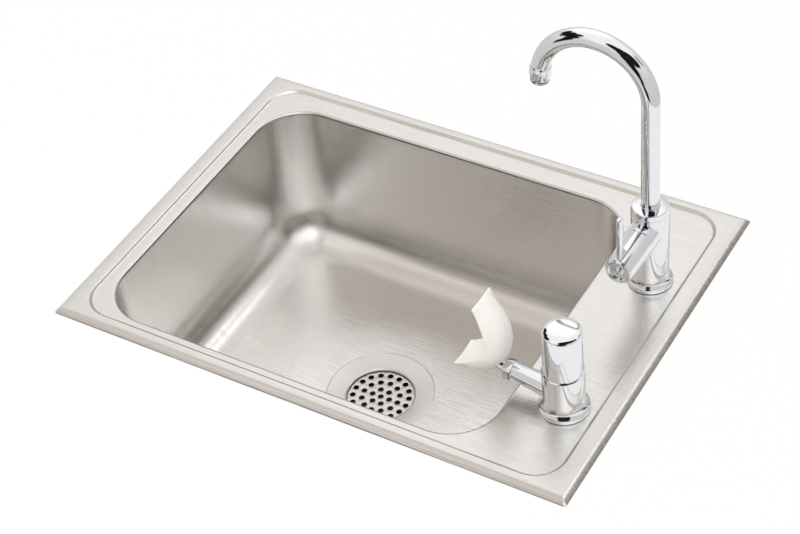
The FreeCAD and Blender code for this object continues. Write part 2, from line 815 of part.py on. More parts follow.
# What fixes a fitting to the ledge: base gasket, threaded shank, washers and nut

def deck_fixing(name, at, base_radius):
    bore = d.shank_radius + d.thread_gap
    ring(name + "_gasket", bore, base_radius - wall, 0, d.base_gasket_wall, at)
    relief_bottom = -d.shank_relief_drop - d.shank_relief
    turned(name + "_shank", [
        (d.shank_bore, -d.shank_drop), (d.shank_radius, -d.shank_drop), (d.shank_radius, relief_bottom),
        (d.shank_relief_radius, relief_bottom), (d.shank_relief_radius, -d.shank_relief_drop),
        (d.shank_radius, -d.shank_relief_drop), (d.shank_radius, socket_top), (d.shank_bore, socket_top),
    ], at)
    under = -wall - d.backing_wall
    ring(name + "_backing_washer", bore, d.backing_radius, under, d.backing_wall, at)
    under = under - d.steel_washer_wall
    ring(name + "_steel_washer", bore, d.backing_radius, under, d.steel_washer_wall, at)
    hex_nut(name + "_locknut", d.deck_nut_flats, bore, under - d.deck_nut_height, d.deck_nut_height, at)


# Tap: body with a side boss, swivelling gooseneck and quarter-turn lever valve

def tap_body():
    shoulder = d.tap_height - d.bonnet_neck_length
    body = turned("tap_body", [
        (0, body_bottom), (d.tap_base_radius, body_bottom),
        (d.tap_base_radius, body_bottom + d.tap_base_height, -d.tap_flare_round),
        (d.tap_radius, d.tap_flare_top), (d.tap_radius, d.tap_height), (0, d.tap_height),
    ], tap_at)
    boss = sketch_on(body, "XZ_Plane", "valve_boss")
    draw_circle(boss, (0, d.valve_height), d.boss_radius)
    extrude(body, boss, d.boss_reach)
    bore = sketch_on(body, "XZ_Plane", "tap_bore")
    neck = d.bonnet_neck_radius + d.thread_gap
    draw(bore, [
        (0, body_bottom), (socket_radius, body_bottom), (socket_radius, socket_top),
        (d.tap_passage, socket_top), (d.tap_passage, d.tap_chamber_floor),
        (d.tap_chamber_radius, d.tap_chamber_floor), (d.tap_chamber_radius, shoulder),
        (neck, shoulder), (neck, d.tap_height), (0, d.tap_height),
    ])
    revolve(body, bore, cut=True)
    seat = sketch_on(body, "XZ_Plane", "valve_bore", (0, 0, d.valve_inner))
    draw_circle(seat, (0, d.valve_height), d.valve_radius + d.thread_gap)
    extrude(body, seat, d.boss_reach - d.valve_inner, reverse=True, cut=True)
    port = sketch_on(body, "XZ_Plane", "valve_port")
    draw_circle(port, (0, d.valve_height), d.stem_radius)
    extrude(body, port, d.valve_inner, reverse=True, cut=True)


def spout():
    shoulder = d.tap_height - d.bonnet_neck_length
    cap_bottom = d.tap_height + d.bonnet_seam
    cap_top = cap_bottom + d.bonnet_height
    tube_bore = d.spout_radius + d.run_gap
    bush_bore = tube_bore + d.bushing_wall
    turned("spout_bonnet", [
        (bush_bore, shoulder), (d.bonnet_neck_radius, shoulder), (d.bonnet_neck_radius, cap_bottom),
        (d.tap_radius, cap_bottom), (d.tap_radius, cap_top - d.bonnet_round, d.bonnet_round),
        (d.tap_radius - d.bonnet_round, cap_top), (tube_bore, cap_top), (tube_bore, cap_top - d.bonnet_lip),
        (bush_bore, cap_top - d.bonnet_lip),
    ], tap_at)
    ring("spout_bushing", tube_bore, bush_bore, shoulder, cap_top - d.bonnet_lip - shoulder, tap_at)

    foot = d.tap_chamber_floor + d.run_gap
    tube = new_body("gooseneck_spout", tap_at)
    bend_end = (-d.spout_bend + d.spout_bend * cosine(d.spout_sweep),
                d.spout_bend_height + d.spout_bend * sine(d.spout_sweep))
    outlet = (bend_end[0] - d.spout_tail * sine(d.spout_sweep),
              bend_end[1] + d.spout_tail * cosine(d.spout_sweep))

    def tube_section(section):
        draw_circle(section, (0, 0), d.spout_radius)
        draw_circle(section, (0, 0), d.spout_radius - d.spout_wall)

    sweep(tube, "XZ_Plane", [(0, foot), (0, d.spout_bend_height, d.spout_bend), bend_end, outlet],
          "XY_Plane", (0, 0, foot), tube_section)

    o_ring = ring("o_ring_form", d.spout_radius, d.spout_radius + d.o_ring_wall, 0, d.o_ring_height,
                  (0, 0, 0), is_node=False)
    ring_z = field_z + foot + d.o_ring_pitch / 2
    group("spout_o_rings", [(o_ring, (tap_at[0], tap_at[1], ring_z), 0),
                            (o_ring, (tap_at[0], tap_at[1], ring_z + d.o_ring_pitch), 0)])
    ring("spout_snap_ring", d.spout_radius, d.spout_radius + d.snap_ring_wall,
         shoulder - d.run_gap - d.snap_ring_height, d.snap_ring_height, tap_at)

    outlet_at = (tap_at[0] + outlet[0], tap_at[1], field_z + outlet[1])
    lean = 180 - d.spout_sweep
    seam = d.adapter_rise - d.outlet_seam
    shell_bottom = seam - d.shell_length
    sleeve = d.spout_radius + d.thread_gap
    turned("outlet_adapter", [
        (sleeve, d.adapter_rise), (d.outlet_radius, d.adapter_rise),
        (d.outlet_radius, d.adapter_rise + d.adapter_length - d.outlet_round / 2, d.outlet_round / 2),
        (d.outlet_radius - d.outlet_round / 2, d.adapter_rise + d.adapter_length),
        (sleeve, d.adapter_rise + d.adapter_length),
    ], outlet_at, (0, 1, 0), lean)
    turned("outlet_shell", [
        (d.spout_radius - d.spout_wall, shell_bottom), (d.outlet_radius - d.outlet_round, shell_bottom,
                                                        d.outlet_round),
        (d.outlet_radius, shell_bottom + d.outlet_round), (d.outlet_radius, seam), (sleeve, seam),
        (sleeve, shell_bottom + d.shell_lip), (d.spout_radius - d.spout_wall, shell_bottom + d.shell_lip),
    ], outlet_at, (0, 1, 0), lean)
    turned("outlet_screen", [
        (0, shell_bottom + d.shell_lip), (d.spout_radius, shell_bottom + d.shell_lip),
        (d.spout_radius, shell_bottom + d.shell_lip + d.screen_wall),
        (0, shell_bottom + d.shell_lip + d.screen_wall),
    ], outlet_at, (0, 1, 0), lean)


def valve():
    at = (tap_at[0], tap_at[1], field_z + d.valve_height)
    stem_bore = d.stem_radius + d.run_gap
    cartridge_end = d.valve_inner + d.valve_length
    turned("valve_cartridge", [
        (0, d.valve_inner), (d.valve_radius, d.valve_inner), (d.valve_radius, cartridge_end),
        (stem_bore, cartridge_end), (stem_bore, d.stem_start - d.run_gap), (0, d.stem_start - d.run_gap),
    ], at, *TOWARD_FRONT)
    turned("valve_gland_nut", [
        (stem_bore, cartridge_end), (d.valve_radius, cartridge_end),
        (d.valve_radius, cartridge_end + d.gland_length), (stem_bore, cartridge_end + d.gland_length),
    ], at, *TOWARD_FRONT)
    stem_end = d.hub_reach - d.stem_setback
    screw_seat = d.hub_reach - d.screw_setback
    screw_bore = d.screw_radius + d.thread_gap
    screw_tip = screw_seat - d.screw_length
    turned("valve_stem", [
        (0, d.stem_start), (d.stem_radius, d.stem_start), (d.stem_radius, stem_end),
        (screw_bore, stem_end), (screw_bore, screw_tip - d.run_gap), (0, screw_tip - d.run_gap),
    ], at, *TOWARD_FRONT)
    turned("lever_screw", [
        (0, screw_tip), (d.screw_radius, screw_tip), (d.screw_radius, screw_seat),
        (d.screw_head_radius, screw_seat), (d.screw_head_radius, screw_seat + d.screw_head_height),
        (0, screw_seat + d.screw_head_height),
    ], at, *TOWARD_FRONT)

    hub_start = d.boss_reach + d.hub_seam
    cavity_end = hub_start + d.hub_cavity_depth
    cap_floor = d.hub_reach - d.cap_depth
    socket = d.stem_radius + d.thread_gap
    head_well = d.screw_head_radius + d.run_gap
    cap_well = d.cap_radius + d.thread_gap
    lever = turned("lever_handle", [
        (d.hub_cavity_radius, hub_start), (d.boss_radius, hub_start),
        (d.hub_end_radius, d.hub_reach - d.hub_end_round, d.hub_end_round),
        (d.hub_end_radius - d.hub_end_round, d.hub_reach), (cap_well, d.hub_reach), (cap_well, cap_floor),
        (head_well, cap_floor), (head_well, screw_seat), (screw_bore, screw_seat),
        (screw_bore, stem_end), (socket, stem_end), (socket, cavity_end),
        (d.hub_cavity_radius, cavity_end),
    ], at, *TOWARD_FRONT)
    blade = sketch_on(lever, "YZ_Plane", "lever_blade", (0, 0, -d.blade_thickness / 2))
    root = d.hub_end_radius - d.hub_end_round
    draw(blade, [
        (root, d.hub_reach - d.hub_end_round), (d.blade_top, d.hub_reach - d.hub_end_round),
        (d.blade_top, d.hub_reach - d.blade_width), (d.blade_gusset, d.hub_reach - d.blade_width),
        (root, d.hub_reach - d.blade_root),
    ])
    extrude(lever, blade, d.blade_thickness)
    tip = d.blade_gusset.number
    dress(lever, "Fillet", {"Radius": d.blade_round},
          lambda edge: edge.BoundBox.YMin > tip - 0.1 and edge.BoundBox.YLength > 1)

    rise = d.hub_end_round / 2
    turned("lever_cap", [
        (0, cap_floor), (d.cap_radius, cap_floor), (d.cap_radius, d.hub_reach - rise),
        (d.cap_radius - rise, d.hub_reach), (d.cap_button_radius + rise, d.hub_reach - rise),
        (d.cap_button_radius, d.hub_reach), (d.cap_button_radius / 2, d.hub_reach + rise),
        (0, d.hub_reach + rise),
    ], at, *TOWARD_FRONT)


# Bubbler: body with a side arm, sprung push cap, and a nozzle inside a mouth guard

def bubbler_body():
    body = turned("bubbler_body", [
        (0, body_bottom), (d.bubbler_base_radius, body_bottom),
        (d.bubbler_base_radius, body_bottom + d.bubbler_base_height, -d.bubbler_flare_round),
        (d.bubbler_radius, d.bubbler_flare_top), (d.bubbler_radius, d.bubbler_height), (0, d.bubbler_height),
    ], bubbler_at)
    root = sketch_on(body, "YZ_Plane", "arm_root", (0, 0, -d.core_radius))
    draw_circle(root, (0, d.arm_root_height), d.arm_root_radius)
    tip = sketch_on(body, "YZ_Plane", "arm_tip", (0, 0, -d.arm_reach))
    draw_circle(tip, (0, d.arm_tip_height), d.arm_tip_radius)
    doc.recompute()
    arm = body.newObject("PartDesign::AdditiveLoft", "arm")
    arm.Profile = root
    arm.Sections = [tip]
    doc.recompute()
    bore = sketch_on(body, "XZ_Plane", "bubbler_bore")
    core = d.core_radius + d.thread_gap
    well = d.push_radius + d.run_gap
    draw(bore, [
        (0, body_bottom), (socket_radius, body_bottom), (socket_radius, socket_top), (core, socket_top),
        (core, d.bubbler_well_floor), (well, d.bubbler_well_floor), (well, d.bubbler_height),
        (0, d.bubbler_height),
    ])
    revolve(body, bore, cut=True)
    waterway = sketch_on(body, "YZ_Plane", "arm_waterway", (0, 0, -d.arm_reach))
    draw_circle(waterway, (0, d.arm_tip_height), d.arm_bore)
    extrude(body, waterway, d.arm_reach, reverse=True, cut=True)


def push_valve():
    cap_bottom = d.bubbler_well_floor + d.push_travel + d.push_spare
    inside = d.push_radius - d.push_wall
    crown_run = d.push_radius - d.push_edge
    crown_bend = (crown_run * crown_run + d.push_crown * d.push_crown) / (2 * d.push_crown)
    roof = d.push_side_top - d.push_wall
    boss_bottom = roof - d.push_boss_depth
    fit = d.plunger_radius + d.thread_gap
    turned("push_cap", [
        (inside, cap_bottom), (d.push_radius, cap_bottom),
        (d.push_radius, d.push_side_top - d.push_edge, d.push_edge),
        (crown_run, d.push_side_top, crown_bend), (0, d.push_side_top + d.push_crown), (0, roof),
        (fit, roof), (fit, boss_bottom), (d.push_boss_radius, boss_bottom), (d.push_boss_radius, roof),
        (inside, roof),
    ], bubbler_at)

    flange_top = d.bubbler_well_floor + d.core_flange_wall
    guide = d.plunger_radius + d.run_gap
    turned("bubbler_cartridge", [
        (d.core_chamber_radius, d.core_bottom), (d.core_radius, d.core_bottom),
        (d.core_radius, d.bubbler_well_floor), (d.core_flange_radius, d.bubbler_well_floor),
        (d.core_flange_radius, flange_top), (d.core_guide_radius, flange_top),
        (d.core_guide_radius, d.core_top), (guide, d.core_top), (guide, d.core_chamber_top),
        (d.core_chamber_radius, d.core_chamber_top),
    ], bubbler_at)

    seal_top = d.core_chamber_top - d.run_gap
    seal_bottom = seal_top - d.plunger_seal_height
    head_radius = d.plunger_seal_radius - d.thread_gap
    turned("plunger_stem", [
        (0, seal_bottom - d.push_wall), (head_radius, seal_bottom - d.push_wall), (head_radius, seal_bottom),
        (d.plunger_radius, seal_bottom), (d.plunger_radius, roof), (0, roof),
    ], bubbler_at)
    ring("plunger_seal", d.plunger_radius, d.plunger_seal_radius, seal_bottom, d.plunger_seal_height,
         bubbler_at)

    coil_bottom = d.core_top + d.spring_wire
    coil_height = boss_bottom - d.spring_wire - coil_bottom
    steps = round(SPRING_STEPS * d.spring_turns.number)
    sections = []
    for step in range(steps + 1):
        angle = 360 * step / SPRING_STEPS
        section = doc.addObject("Part::RegularPolygon", "spring_section_%d" % step)
        section.Polygon = 6
        bind(section, "Circumradius", d.spring_wire)
        upright = FreeCAD.Rotation(FreeCAD.Vector(1, 0, 0), 90)
        around = FreeCAD.Rotation(FreeCAD.Vector(0, 0, 1), angle)
        section.Placement = FreeCAD.Placement(FreeCAD.Vector(), around * upright)
        place_at(section, (d.spring_radius * math.cos(math.radians(angle)),
                           d.spring_radius * math.sin(math.radians(angle)), coil_height * step / steps))
        sections.append(section)
    spring = doc.addObject("Part::Loft", "return_spring")
    spring.Label = "return_spring"
    spring.Sections = sections
    spring.Solid = True
    spring.Ruled = True
    place_at(spring, (bubbler_at[0], bubbler_at[1], field_z + coil_bottom))
    nodes.append(spring)


def nozzle_and_guard():
    arm_end = (bubbler_at[0] - d.arm_reach, bubbler_at[1], field_z + d.arm_tip_height)
    hex_nut("arm_nut", d.arm_nut_flats, d.nozzle_radius + d.thread_gap, 0, d.arm_nut_length, arm_end,
            *TOWARD_BOWL)

    def nozzle_section(section):
        draw_circle(section, (0, 0), d.nozzle_radius)
        draw_circle(section, (0, 0), d.nozzle_bore)

    nozzle = new_body("nozzle", arm_end)
    bend_end = (-d.nozzle_run - d.nozzle_bend * sine(d.nozzle_angle),
                d.nozzle_bend - d.nozzle_bend * cosine(d.nozzle_angle))
    mouth = (bend_end[0] - d.nozzle_tip * cosine(d.nozzle_angle),
             bend_end[1] + d.nozzle_tip * sine(d.nozzle_angle))
    sweep(nozzle, "XZ_Plane", [(0, 0), (-d.nozzle_run, 0, -d.nozzle_bend), bend_end, mouth],
          "YZ_Plane", (0, 0, 0), nozzle_section)

    half = d.guard_width / 2
    scoop = new_body("guard_scoop", (bubbler_at[0] - d.guard_reach, bubbler_at[1], field_z + d.guard_height),
                     is_node=False)
    sections = []
    for rank in range(len(GUARD_FAN)):
        angle = getattr(d, "guard_angle_%d" % rank)
        edge = getattr(d, "guard_edge_%d" % rank)
        hollow = getattr(d, "guard_hollow_%d" % rank)
        outer = (half * half + hollow * hollow) / (2 * hollow)
        inner = outer - d.guard_wall
        middle = edge + hollow
        side = half * inner / outer
        rise = middle - outer + (outer - hollow) * inner / outer
        section = sketch_on(scoop, "YZ_Plane", "guard_section_%d" % rank)
        turn = FreeCAD.Rotation(FreeCAD.Vector(1, 0, 0), angle.number)
        section.AttachmentOffset = FreeCAD.Placement(FreeCAD.Vector(), turn)
        bind(section, "AttachmentOffset.Rotation.Angle", angle)
        draw(section, [
            (-half, edge, -outer), (0, middle, -outer), (half, edge),
            (side, rise, inner), (0, middle - d.guard_wall, inner), (-side, rise),
        ])
        sections.append(section)
    doc.recompute()
    loft = scoop.newObject("PartDesign::AdditiveLoft", "guard_loft")
    loft.Profile = sections[0]
    loft.Sections = sections[1:]
    doc.recompute()

    drill = doc.addObject("Part::Cylinder", "guard_drill")
    bind(drill, "Radius", d.nozzle_radius + d.guard_hole_gap)
    bind(drill, "Height", 2 * d.nozzle_tip)
    place_at(drill, (arm_end[0] + bend_end[0], arm_end[1], arm_end[2] + bend_end[1]), (0, 1, 0),
             d.nozzle_angle - 90)
    guard = doc.addObject("Part::Cut", "mouth_guard")
    guard.Label = "mouth_guard"
    guard.Base = scoop
    guard.Tool = drill
    nodes.append(guard)


sink_basin()
mounting()
drain()
deck_fixing("tap", tap_at, d.tap_base_radius)
tap_body()
spout()
valve()
deck_fixing("bubbler", bubbler_at, d.bubbler_base_radius)
bubbler_body()
push_valve()
nozzle_and_guard()
doc.recompute()

for thing in doc.Objects:
    if "Invalid" in thing.State or "Error" in thing.State:
        raise RuntimeError("%s failed: %s" % (thing.Label, thing.State))
for node in nodes:
    if node.Shape.isNull() or not node.Shape.isValid():
        raise RuntimeError("%s has no valid shape" % node.Label)

os.makedirs("parts", exist_ok=True)
for node in nodes:
    node.Shape.exportStep(os.path.join("parts", node.Label + ".step"))
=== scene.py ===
"""Looks of a drop-in steel sink with a gooseneck tap and a push-button drinking bubbler.

Blender works in metres, +Z up. The origin is the middle of the rim, on the worktop that the rim rests on.
+X points to the ledge with the fittings and +Y to the back. Sizes below are millimetres unless they say
otherwise, and Workshop turns them into metres.
"""

import json
import logging
import math
from collections.abc import Callable, Iterator, Mapping, Sequence
from contextlib import contextmanager
from dataclasses import dataclass
from enum import Enum
from functools import cached_property

import bmesh
import bpy
from mathutils import Matrix, Vector

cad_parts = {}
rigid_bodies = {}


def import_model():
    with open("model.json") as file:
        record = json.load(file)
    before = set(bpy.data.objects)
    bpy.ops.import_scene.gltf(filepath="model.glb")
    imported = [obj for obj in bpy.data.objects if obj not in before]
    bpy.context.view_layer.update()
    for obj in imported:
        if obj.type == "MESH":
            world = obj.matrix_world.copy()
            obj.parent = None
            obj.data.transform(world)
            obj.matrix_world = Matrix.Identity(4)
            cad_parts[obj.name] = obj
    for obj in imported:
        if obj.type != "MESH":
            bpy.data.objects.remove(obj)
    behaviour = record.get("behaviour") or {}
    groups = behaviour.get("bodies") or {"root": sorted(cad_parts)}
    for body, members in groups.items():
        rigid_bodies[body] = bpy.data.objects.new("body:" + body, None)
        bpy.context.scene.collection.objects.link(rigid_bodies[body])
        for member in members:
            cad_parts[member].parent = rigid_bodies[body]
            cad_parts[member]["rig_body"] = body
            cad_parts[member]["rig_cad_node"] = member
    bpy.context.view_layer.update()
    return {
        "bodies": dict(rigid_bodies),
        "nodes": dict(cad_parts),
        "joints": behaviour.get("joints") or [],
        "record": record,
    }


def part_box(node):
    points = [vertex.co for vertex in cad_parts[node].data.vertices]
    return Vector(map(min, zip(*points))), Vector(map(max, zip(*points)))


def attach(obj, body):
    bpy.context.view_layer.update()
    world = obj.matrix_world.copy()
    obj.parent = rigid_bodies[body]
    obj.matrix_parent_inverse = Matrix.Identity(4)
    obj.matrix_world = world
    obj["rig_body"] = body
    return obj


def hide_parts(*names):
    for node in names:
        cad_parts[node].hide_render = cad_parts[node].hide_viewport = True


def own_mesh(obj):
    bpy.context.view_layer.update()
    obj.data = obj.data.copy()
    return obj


LOG = logging.getLogger("sink")
MM = 0.001
MERGE_DISTANCE = 0.002 * MM
SAME_PLACE = 1e-6

Color = tuple[float, float, float]
Corner = tuple[float, ...]
Pair = tuple[float, float]
Point = tuple[float, float, float]
Piece = bpy.types.Object
Node = bpy.types.Node
Socket = bpy.types.NodeSocket
Feed = Socket | float | Sequence[float]


class Slot(Enum):
    """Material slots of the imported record."""

    SINK_STEEL = "sink_steel"
    DRAIN_STEEL = "drain_steel"
    CHROME = "chrome"
    ZINC_STEEL = "zinc_steel"
    BRASS = "brass"
    RUBBER = "rubber"
    NYLON = "nylon"
    SPRING_STEEL = "spring_steel"
    GUARD_PLASTIC = "guard_plastic"


class Facing(Enum):
    """Ways in which a turned piece's axis can point."""

    UP = (0, 0, 1)
    FRONT = (0, -1, 0)
    BOWL = (-1, 0, 0)


class Edge(float, Enum):
    """Roundings of turned corners."""

    CRISP = 0.2
    FINE = 0.3
    PLAIN = 0.4
    EASED = 0.5
    FULL = 0.6
    SOFT = 0.8


class Graph:
    """Adds nodes to one node tree and joins their sockets."""

    def __init__(self, tree: bpy.types.NodeTree) -> None:
        """Starts on an emptied tree."""
        tree.nodes.clear()
        self.tree = tree

    def add(self, kind: str, inputs: dict | None = None, **settings: object) -> Node:
        """Adds a node.

        Args:
            kind: Blender's name of the node type.
            inputs: Sockets to join or plain values to set, by input name or index.
            **settings: Properties of the node, set before its inputs.

        Returns:
            The new node.
        """
        node = self.tree.nodes.new(kind)
        for name, value in settings.items():
            setattr(node, name, value)
        for name, value in (inputs or {}).items():
            if isinstance(value, Socket):
                self.tree.links.new(value, node.inputs[name])
            else:
                node.inputs[name].default_value = value
        return node

    def math(self, operation: str, first: Feed, second: Feed) -> Socket:
        """Works out a value from two values."""
        return self.add("ShaderNodeMath", {0: first, 1: second}, operation=operation).outputs["Value"]

    def vector(self, operation: str, first: Feed, second: Feed = (0, 0, 0)) -> Socket:
        """Works out a vector from one or two vectors."""
        return self.add("ShaderNodeVectorMath", {0: first, 1: second}, operation=operation).outputs["Vector"]

    def measure(self, operation: str, first: Feed, second: Feed = (0, 0, 0)) -> Socket:
        """Works out a value from one or two vectors."""
        return self.add("ShaderNodeVectorMath", {0: first, 1: second}, operation=operation).outputs["Value"]

    def axes(self, vector: Socket) -> Mapping[str, Socket]:
        """Splits a vector into its X, Y and Z."""
        return self.add("ShaderNodeSeparateXYZ", {0: vector}).outputs

    def arm(self, place: Socket, axis: Feed) -> Socket:
        """The level line from an upright axis to a place."""
        return self.vector("MULTIPLY", self.vector("SUBTRACT", place, axis), (1, 1, 0))

    def noise(self, inputs: dict, dimensions: str = "3D") -> Socket:
        """Adds a noise texture."""
        return self.add("ShaderNodeTexNoise", inputs, noise_dimensions=dimensions).outputs["Fac"]

    def blend(self, share: Socket, first: Feed, second: Feed) -> Socket:
        """Mixes two colours, which are inputs 6 and 7 of the node and output 2."""
        node = self.add("ShaderNodeMix", {"Factor": share, 6: first, 7: second}, data_type="RGBA")
        return node.outputs[2]

    def mixed(self, share: Socket, first: Socket, second: Socket) -> Socket:
        """Mixes two shaders."""
        return self.add("ShaderNodeMixShader", {0: share, 1: first, 2: second}).outputs["Shader"]

    def remap(self, value: Socket, low: float, high: float, start: float, end: float) -> Socket:
        """Maps a value softly from start..end to low..high.

        Args:
            value: Socket that is mapped.
            low: Result at the start.
            high: Result at the end.
            start: Value that gives low.
            end: Value that gives high.

        Returns:
            The socket with the result.
        """
        limits = {"From Min": start, "From Max": end, "To Min": low, "To Max": high}
        node = self.add("ShaderNodeMapRange", {"Value": value, **limits}, interpolation_type="SMOOTHSTEP")
        return node.outputs["Result"]

    def tint(self, mask: Socket, dark: Color, light: Color) -> Socket:
        """Mixes two colours by a mask.

        Args:
            mask: Socket from 0 to 1.
            dark: Colour at 0.
            light: Colour at 1.

        Returns:
            The socket with the mixed colour.
        """
        ramp = self.add("ShaderNodeValToRGB", {"Fac": mask})
        for stop, color in zip(ramp.color_ramp.elements, (dark, light)):
            stop.color = (*color, 1)
        return ramp.outputs["Color"]


class SurfaceGroups:
    """Node groups that several finishes share, each built once."""

    GRAIN = {"Scale": 1.0, "Detail": 3.0, "Roughness": 0.6}
    RINGS = {"Scale": 1400.0, "Detail": 3.0}
    PORES = {"Scale": 900.0, "Detail": 2.0}
    PATCH_DETAIL = 2.0
    SHEET_PATCHES = 7.0
    TURNED_PATCHES = 30.0
    CAST_PATCHES = 45.0

    def __init__(self) -> None:
        """Builds the groups."""
        self.brushed = self._brushed()
        self.turned = self._turned()
        self.pores = self._pores()

    @staticmethod
    def _open(name: str, fine: str, control: str = "") -> tuple[Graph, Node]:
        """Starts a group.

        Args:
            name: Name of the group.
            fine: Name of the output with the fine pattern.
            control: Name of the vector input, if the group has one.

        Returns:
            The graph to build in and the node with the group's inputs.
        """
        tree = bpy.data.node_groups.new(name, "ShaderNodeTree")
        if control:
            tree.interface.new_socket(control, in_out="INPUT", socket_type="NodeSocketVector")
        for output in (fine, "Mottle"):
            tree.interface.new_socket(output, in_out="OUTPUT", socket_type="NodeSocketFloat")
        graph = Graph(tree)
        return graph, graph.add("NodeGroupInput")

    def _close(self, graph: Graph, fine: Socket, place: Socket, scale: float) -> bpy.types.NodeTree:
        """Ends a group, and adds the slow, soft patches that break up an even surface.

        Args:
            graph: The group's nodes.
            fine: The fine pattern.
            place: The point on the surface.
            scale: Fineness of the patches.

        Returns:
            The finished group.
        """
        mottle = graph.noise({"Vector": place, "Scale": scale, "Detail": self.PATCH_DETAIL})
        graph.add("NodeGroupOutput", {0: fine, 1: mottle})
        return graph.tree

    def _brushed(self) -> bpy.types.NodeTree:
        """Straight grain of a brushed sheet, which follows the sheet round its bends."""
        graph, given = self._open("brushed_grain", "Grain", "Stretch")
        coords = graph.add("ShaderNodeTexCoord").outputs
        drawn = graph.axes(graph.vector("MULTIPLY", coords["Object"], given.outputs["Stretch"]))
        facing = graph.axes(coords["Normal"])["Y"]
        steep = graph.math("MULTIPLY", facing, facing)
        grains = []
        for across in ("Y", "Z"):
            streak = graph.add("ShaderNodeCombineXYZ", {"X": drawn["X"], "Y": drawn[across]})
            grains.append(graph.noise({"Vector": streak.outputs["Vector"], **self.GRAIN}, "2D"))
        grain = graph.add("ShaderNodeMix", {"Factor": steep, "A": grains[0], "B": grains[1]})
        return self._close(graph, grain.outputs["Result"], coords["Object"], self.SHEET_PATCHES)

    def _turned(self) -> bpy.types.NodeTree:
        """Fine rings of a piece turned about an upright axis."""
        graph, given = self._open("turned_rings", "Rings", "Axis")
        place = graph.add("ShaderNodeTexCoord").outputs["Object"]
        reach = graph.measure("LENGTH", graph.arm(place, given.outputs["Axis"]))
        return self._close(graph, graph.noise({"W": reach, **self.RINGS}, "1D"), place, self.TURNED_PATCHES)

    def _pores(self) -> bpy.types.NodeTree:
        """Fine pores of moulded or cast stuff."""
        graph, _ = self._open("fine_pores", "Pores")
        place = graph.add("ShaderNodeTexCoord").outputs["Object"]
        return self._close(graph, graph.noise({"Vector": place, **self.PORES}), place, self.CAST_PATCHES)


def shaded(color: Color, by: float) -> Color:
    """A colour made lighter or darker by a factor."""
    return tuple(min(1.0, channel * by) for channel in color)


def grey(level: float) -> Color:
    """An even grey."""
    return (level, level, level)


@dataclass(frozen=True)
class Finish:
    """A surface: its colour, gloss and the pattern that keeps it from being flat.

    The relief's depth is metres.
    """

    slot: Slot
    color: Color
    roughness: float
    spread: float
    contrast: float
    relief: float
    metallic: float = 1.0
    relief_depth: float = 0.0002

    PATCH_RANGE = (0.3, 0.7)

    def pattern(self, graph: Graph, groups: SurfaceGroups) -> tuple[Socket, Socket]:
        """Places the pattern's group; its outputs are the fine pattern and the soft patches."""
        return tuple(graph.add("ShaderNodeGroup", node_tree=groups.pores).outputs)

    def material(self, groups: SurfaceGroups) -> bpy.types.Material:
        """Builds the material.

        Args:
            groups: Shared node groups.

        Returns:
            The new material, named after its slot.
        """
        material = bpy.data.materials.new(self.slot.value)
        material.use_nodes = True
        graph = Graph(material.node_tree)
        fine, soft = self.pattern(graph, groups)
        bump = graph.add("ShaderNodeBump", {"Height": fine, "Strength": self.relief,
                                            "Distance": self.relief_depth})
        unshaded = graph.tint(fine, shaded(self.color, 1 - self.contrast), shaded(self.color, 1 + self.contrast))
        shader = graph.add("ShaderNodeBsdfPrincipled", {
            "Base Color": self.painted_shade(graph, unshaded),
            "Roughness": graph.remap(soft, self.roughness - self.spread, self.roughness + self.spread,
                                     *self.PATCH_RANGE),
            "Metallic": self.metallic,
            "Normal": bump.outputs["Normal"],
        })
        self.gloss(shader)
        graph.add("ShaderNodeOutputMaterial", {"Surface": shader.outputs["BSDF"]})
        return material

    def painted_shade(self, graph: Graph, unshaded: Socket) -> Socket:
        """Changes the unshaded colour where shade is painted on; most surfaces have none."""
        return unshaded

    def gloss(self, shader: Node) -> None:
        """Sets what is the same all over the surface; plain metals need nothing more."""


@dataclass(frozen=True)
class BrushedSheet(Finish):
    """Steel sheet with a straight grain."""

    stretch: Point = (14.0, 1100.0, 1100.0)

    def pattern(self, graph: Graph, groups: SurfaceGroups) -> tuple[Socket, Socket]:
        """Places the grain."""
        group = graph.add("ShaderNodeGroup", {"Stretch": self.stretch}, node_tree=groups.brushed)
        return tuple(group.outputs)


@dataclass(frozen=True)
class TurnedMetal(Finish):
    """Metal with the fine rings of the lathe, round an upright axis placed in metres."""

    axis: Point = (0.0, 0.0, 0.0)

    def pattern(self, graph: Graph, groups: SurfaceGroups) -> tuple[Socket, Socket]:
        """Places the rings."""
        return tuple(graph.add("ShaderNodeGroup", {"Axis": self.axis}, node_tree=groups.turned).outputs)


@dataclass(frozen=True)
class ShadedDrainMetal(TurnedMetal):
    """Turned metal with dark brown painted shade below a height, in metres, which darkens the drain's cup as
    seen through the grid's holes.
    """

    shade_color: Color = (0.09, 0.062, 0.05)
    shade_top: float = -0.1838
    shade_band: float = 0.012
    shade_blur: float = 0.0004
    inward_blur: float = 0.1

    def painted_shade(self, graph: Graph, unshaded: Socket) -> Socket:
        """Paints shade on all faces in a band under the top and, further down, only on faces turned inward.

        Args:
            graph: The material's nodes.
            unshaded: Colour of the metal without the painted shade.

        Returns:
            The socket with the painted shade mixed in.
        """
        # Painted shade: the cup's inside goes dark brown below the top, standing in for the shade in the
        # recess under the grid.
        coords = graph.add("ShaderNodeTexCoord").outputs
        height = graph.axes(coords["Object"])["Z"]
        under = graph.remap(height, 1, 0, self.shade_top - self.shade_blur, self.shade_top)
        band = self.shade_top - self.shade_band
        upper = graph.remap(height, 0, 1, band - self.shade_blur, band)
        outward = graph.vector("NORMALIZE", graph.arm(coords["Object"], self.axis))
        away = graph.measure("DOT_PRODUCT", outward, coords["Normal"])
        turned = graph.math("SUBTRACT", away, graph.axes(coords["Normal"])["Z"])
        inward = graph.remap(turned, 1, 0, -self.inward_blur, self.inward_blur)
        shade_mask = graph.math("MAXIMUM", upper, inward)
        return graph.blend(graph.math("MULTIPLY", under, shade_mask), unshaded, (*self.shade_color, 1))


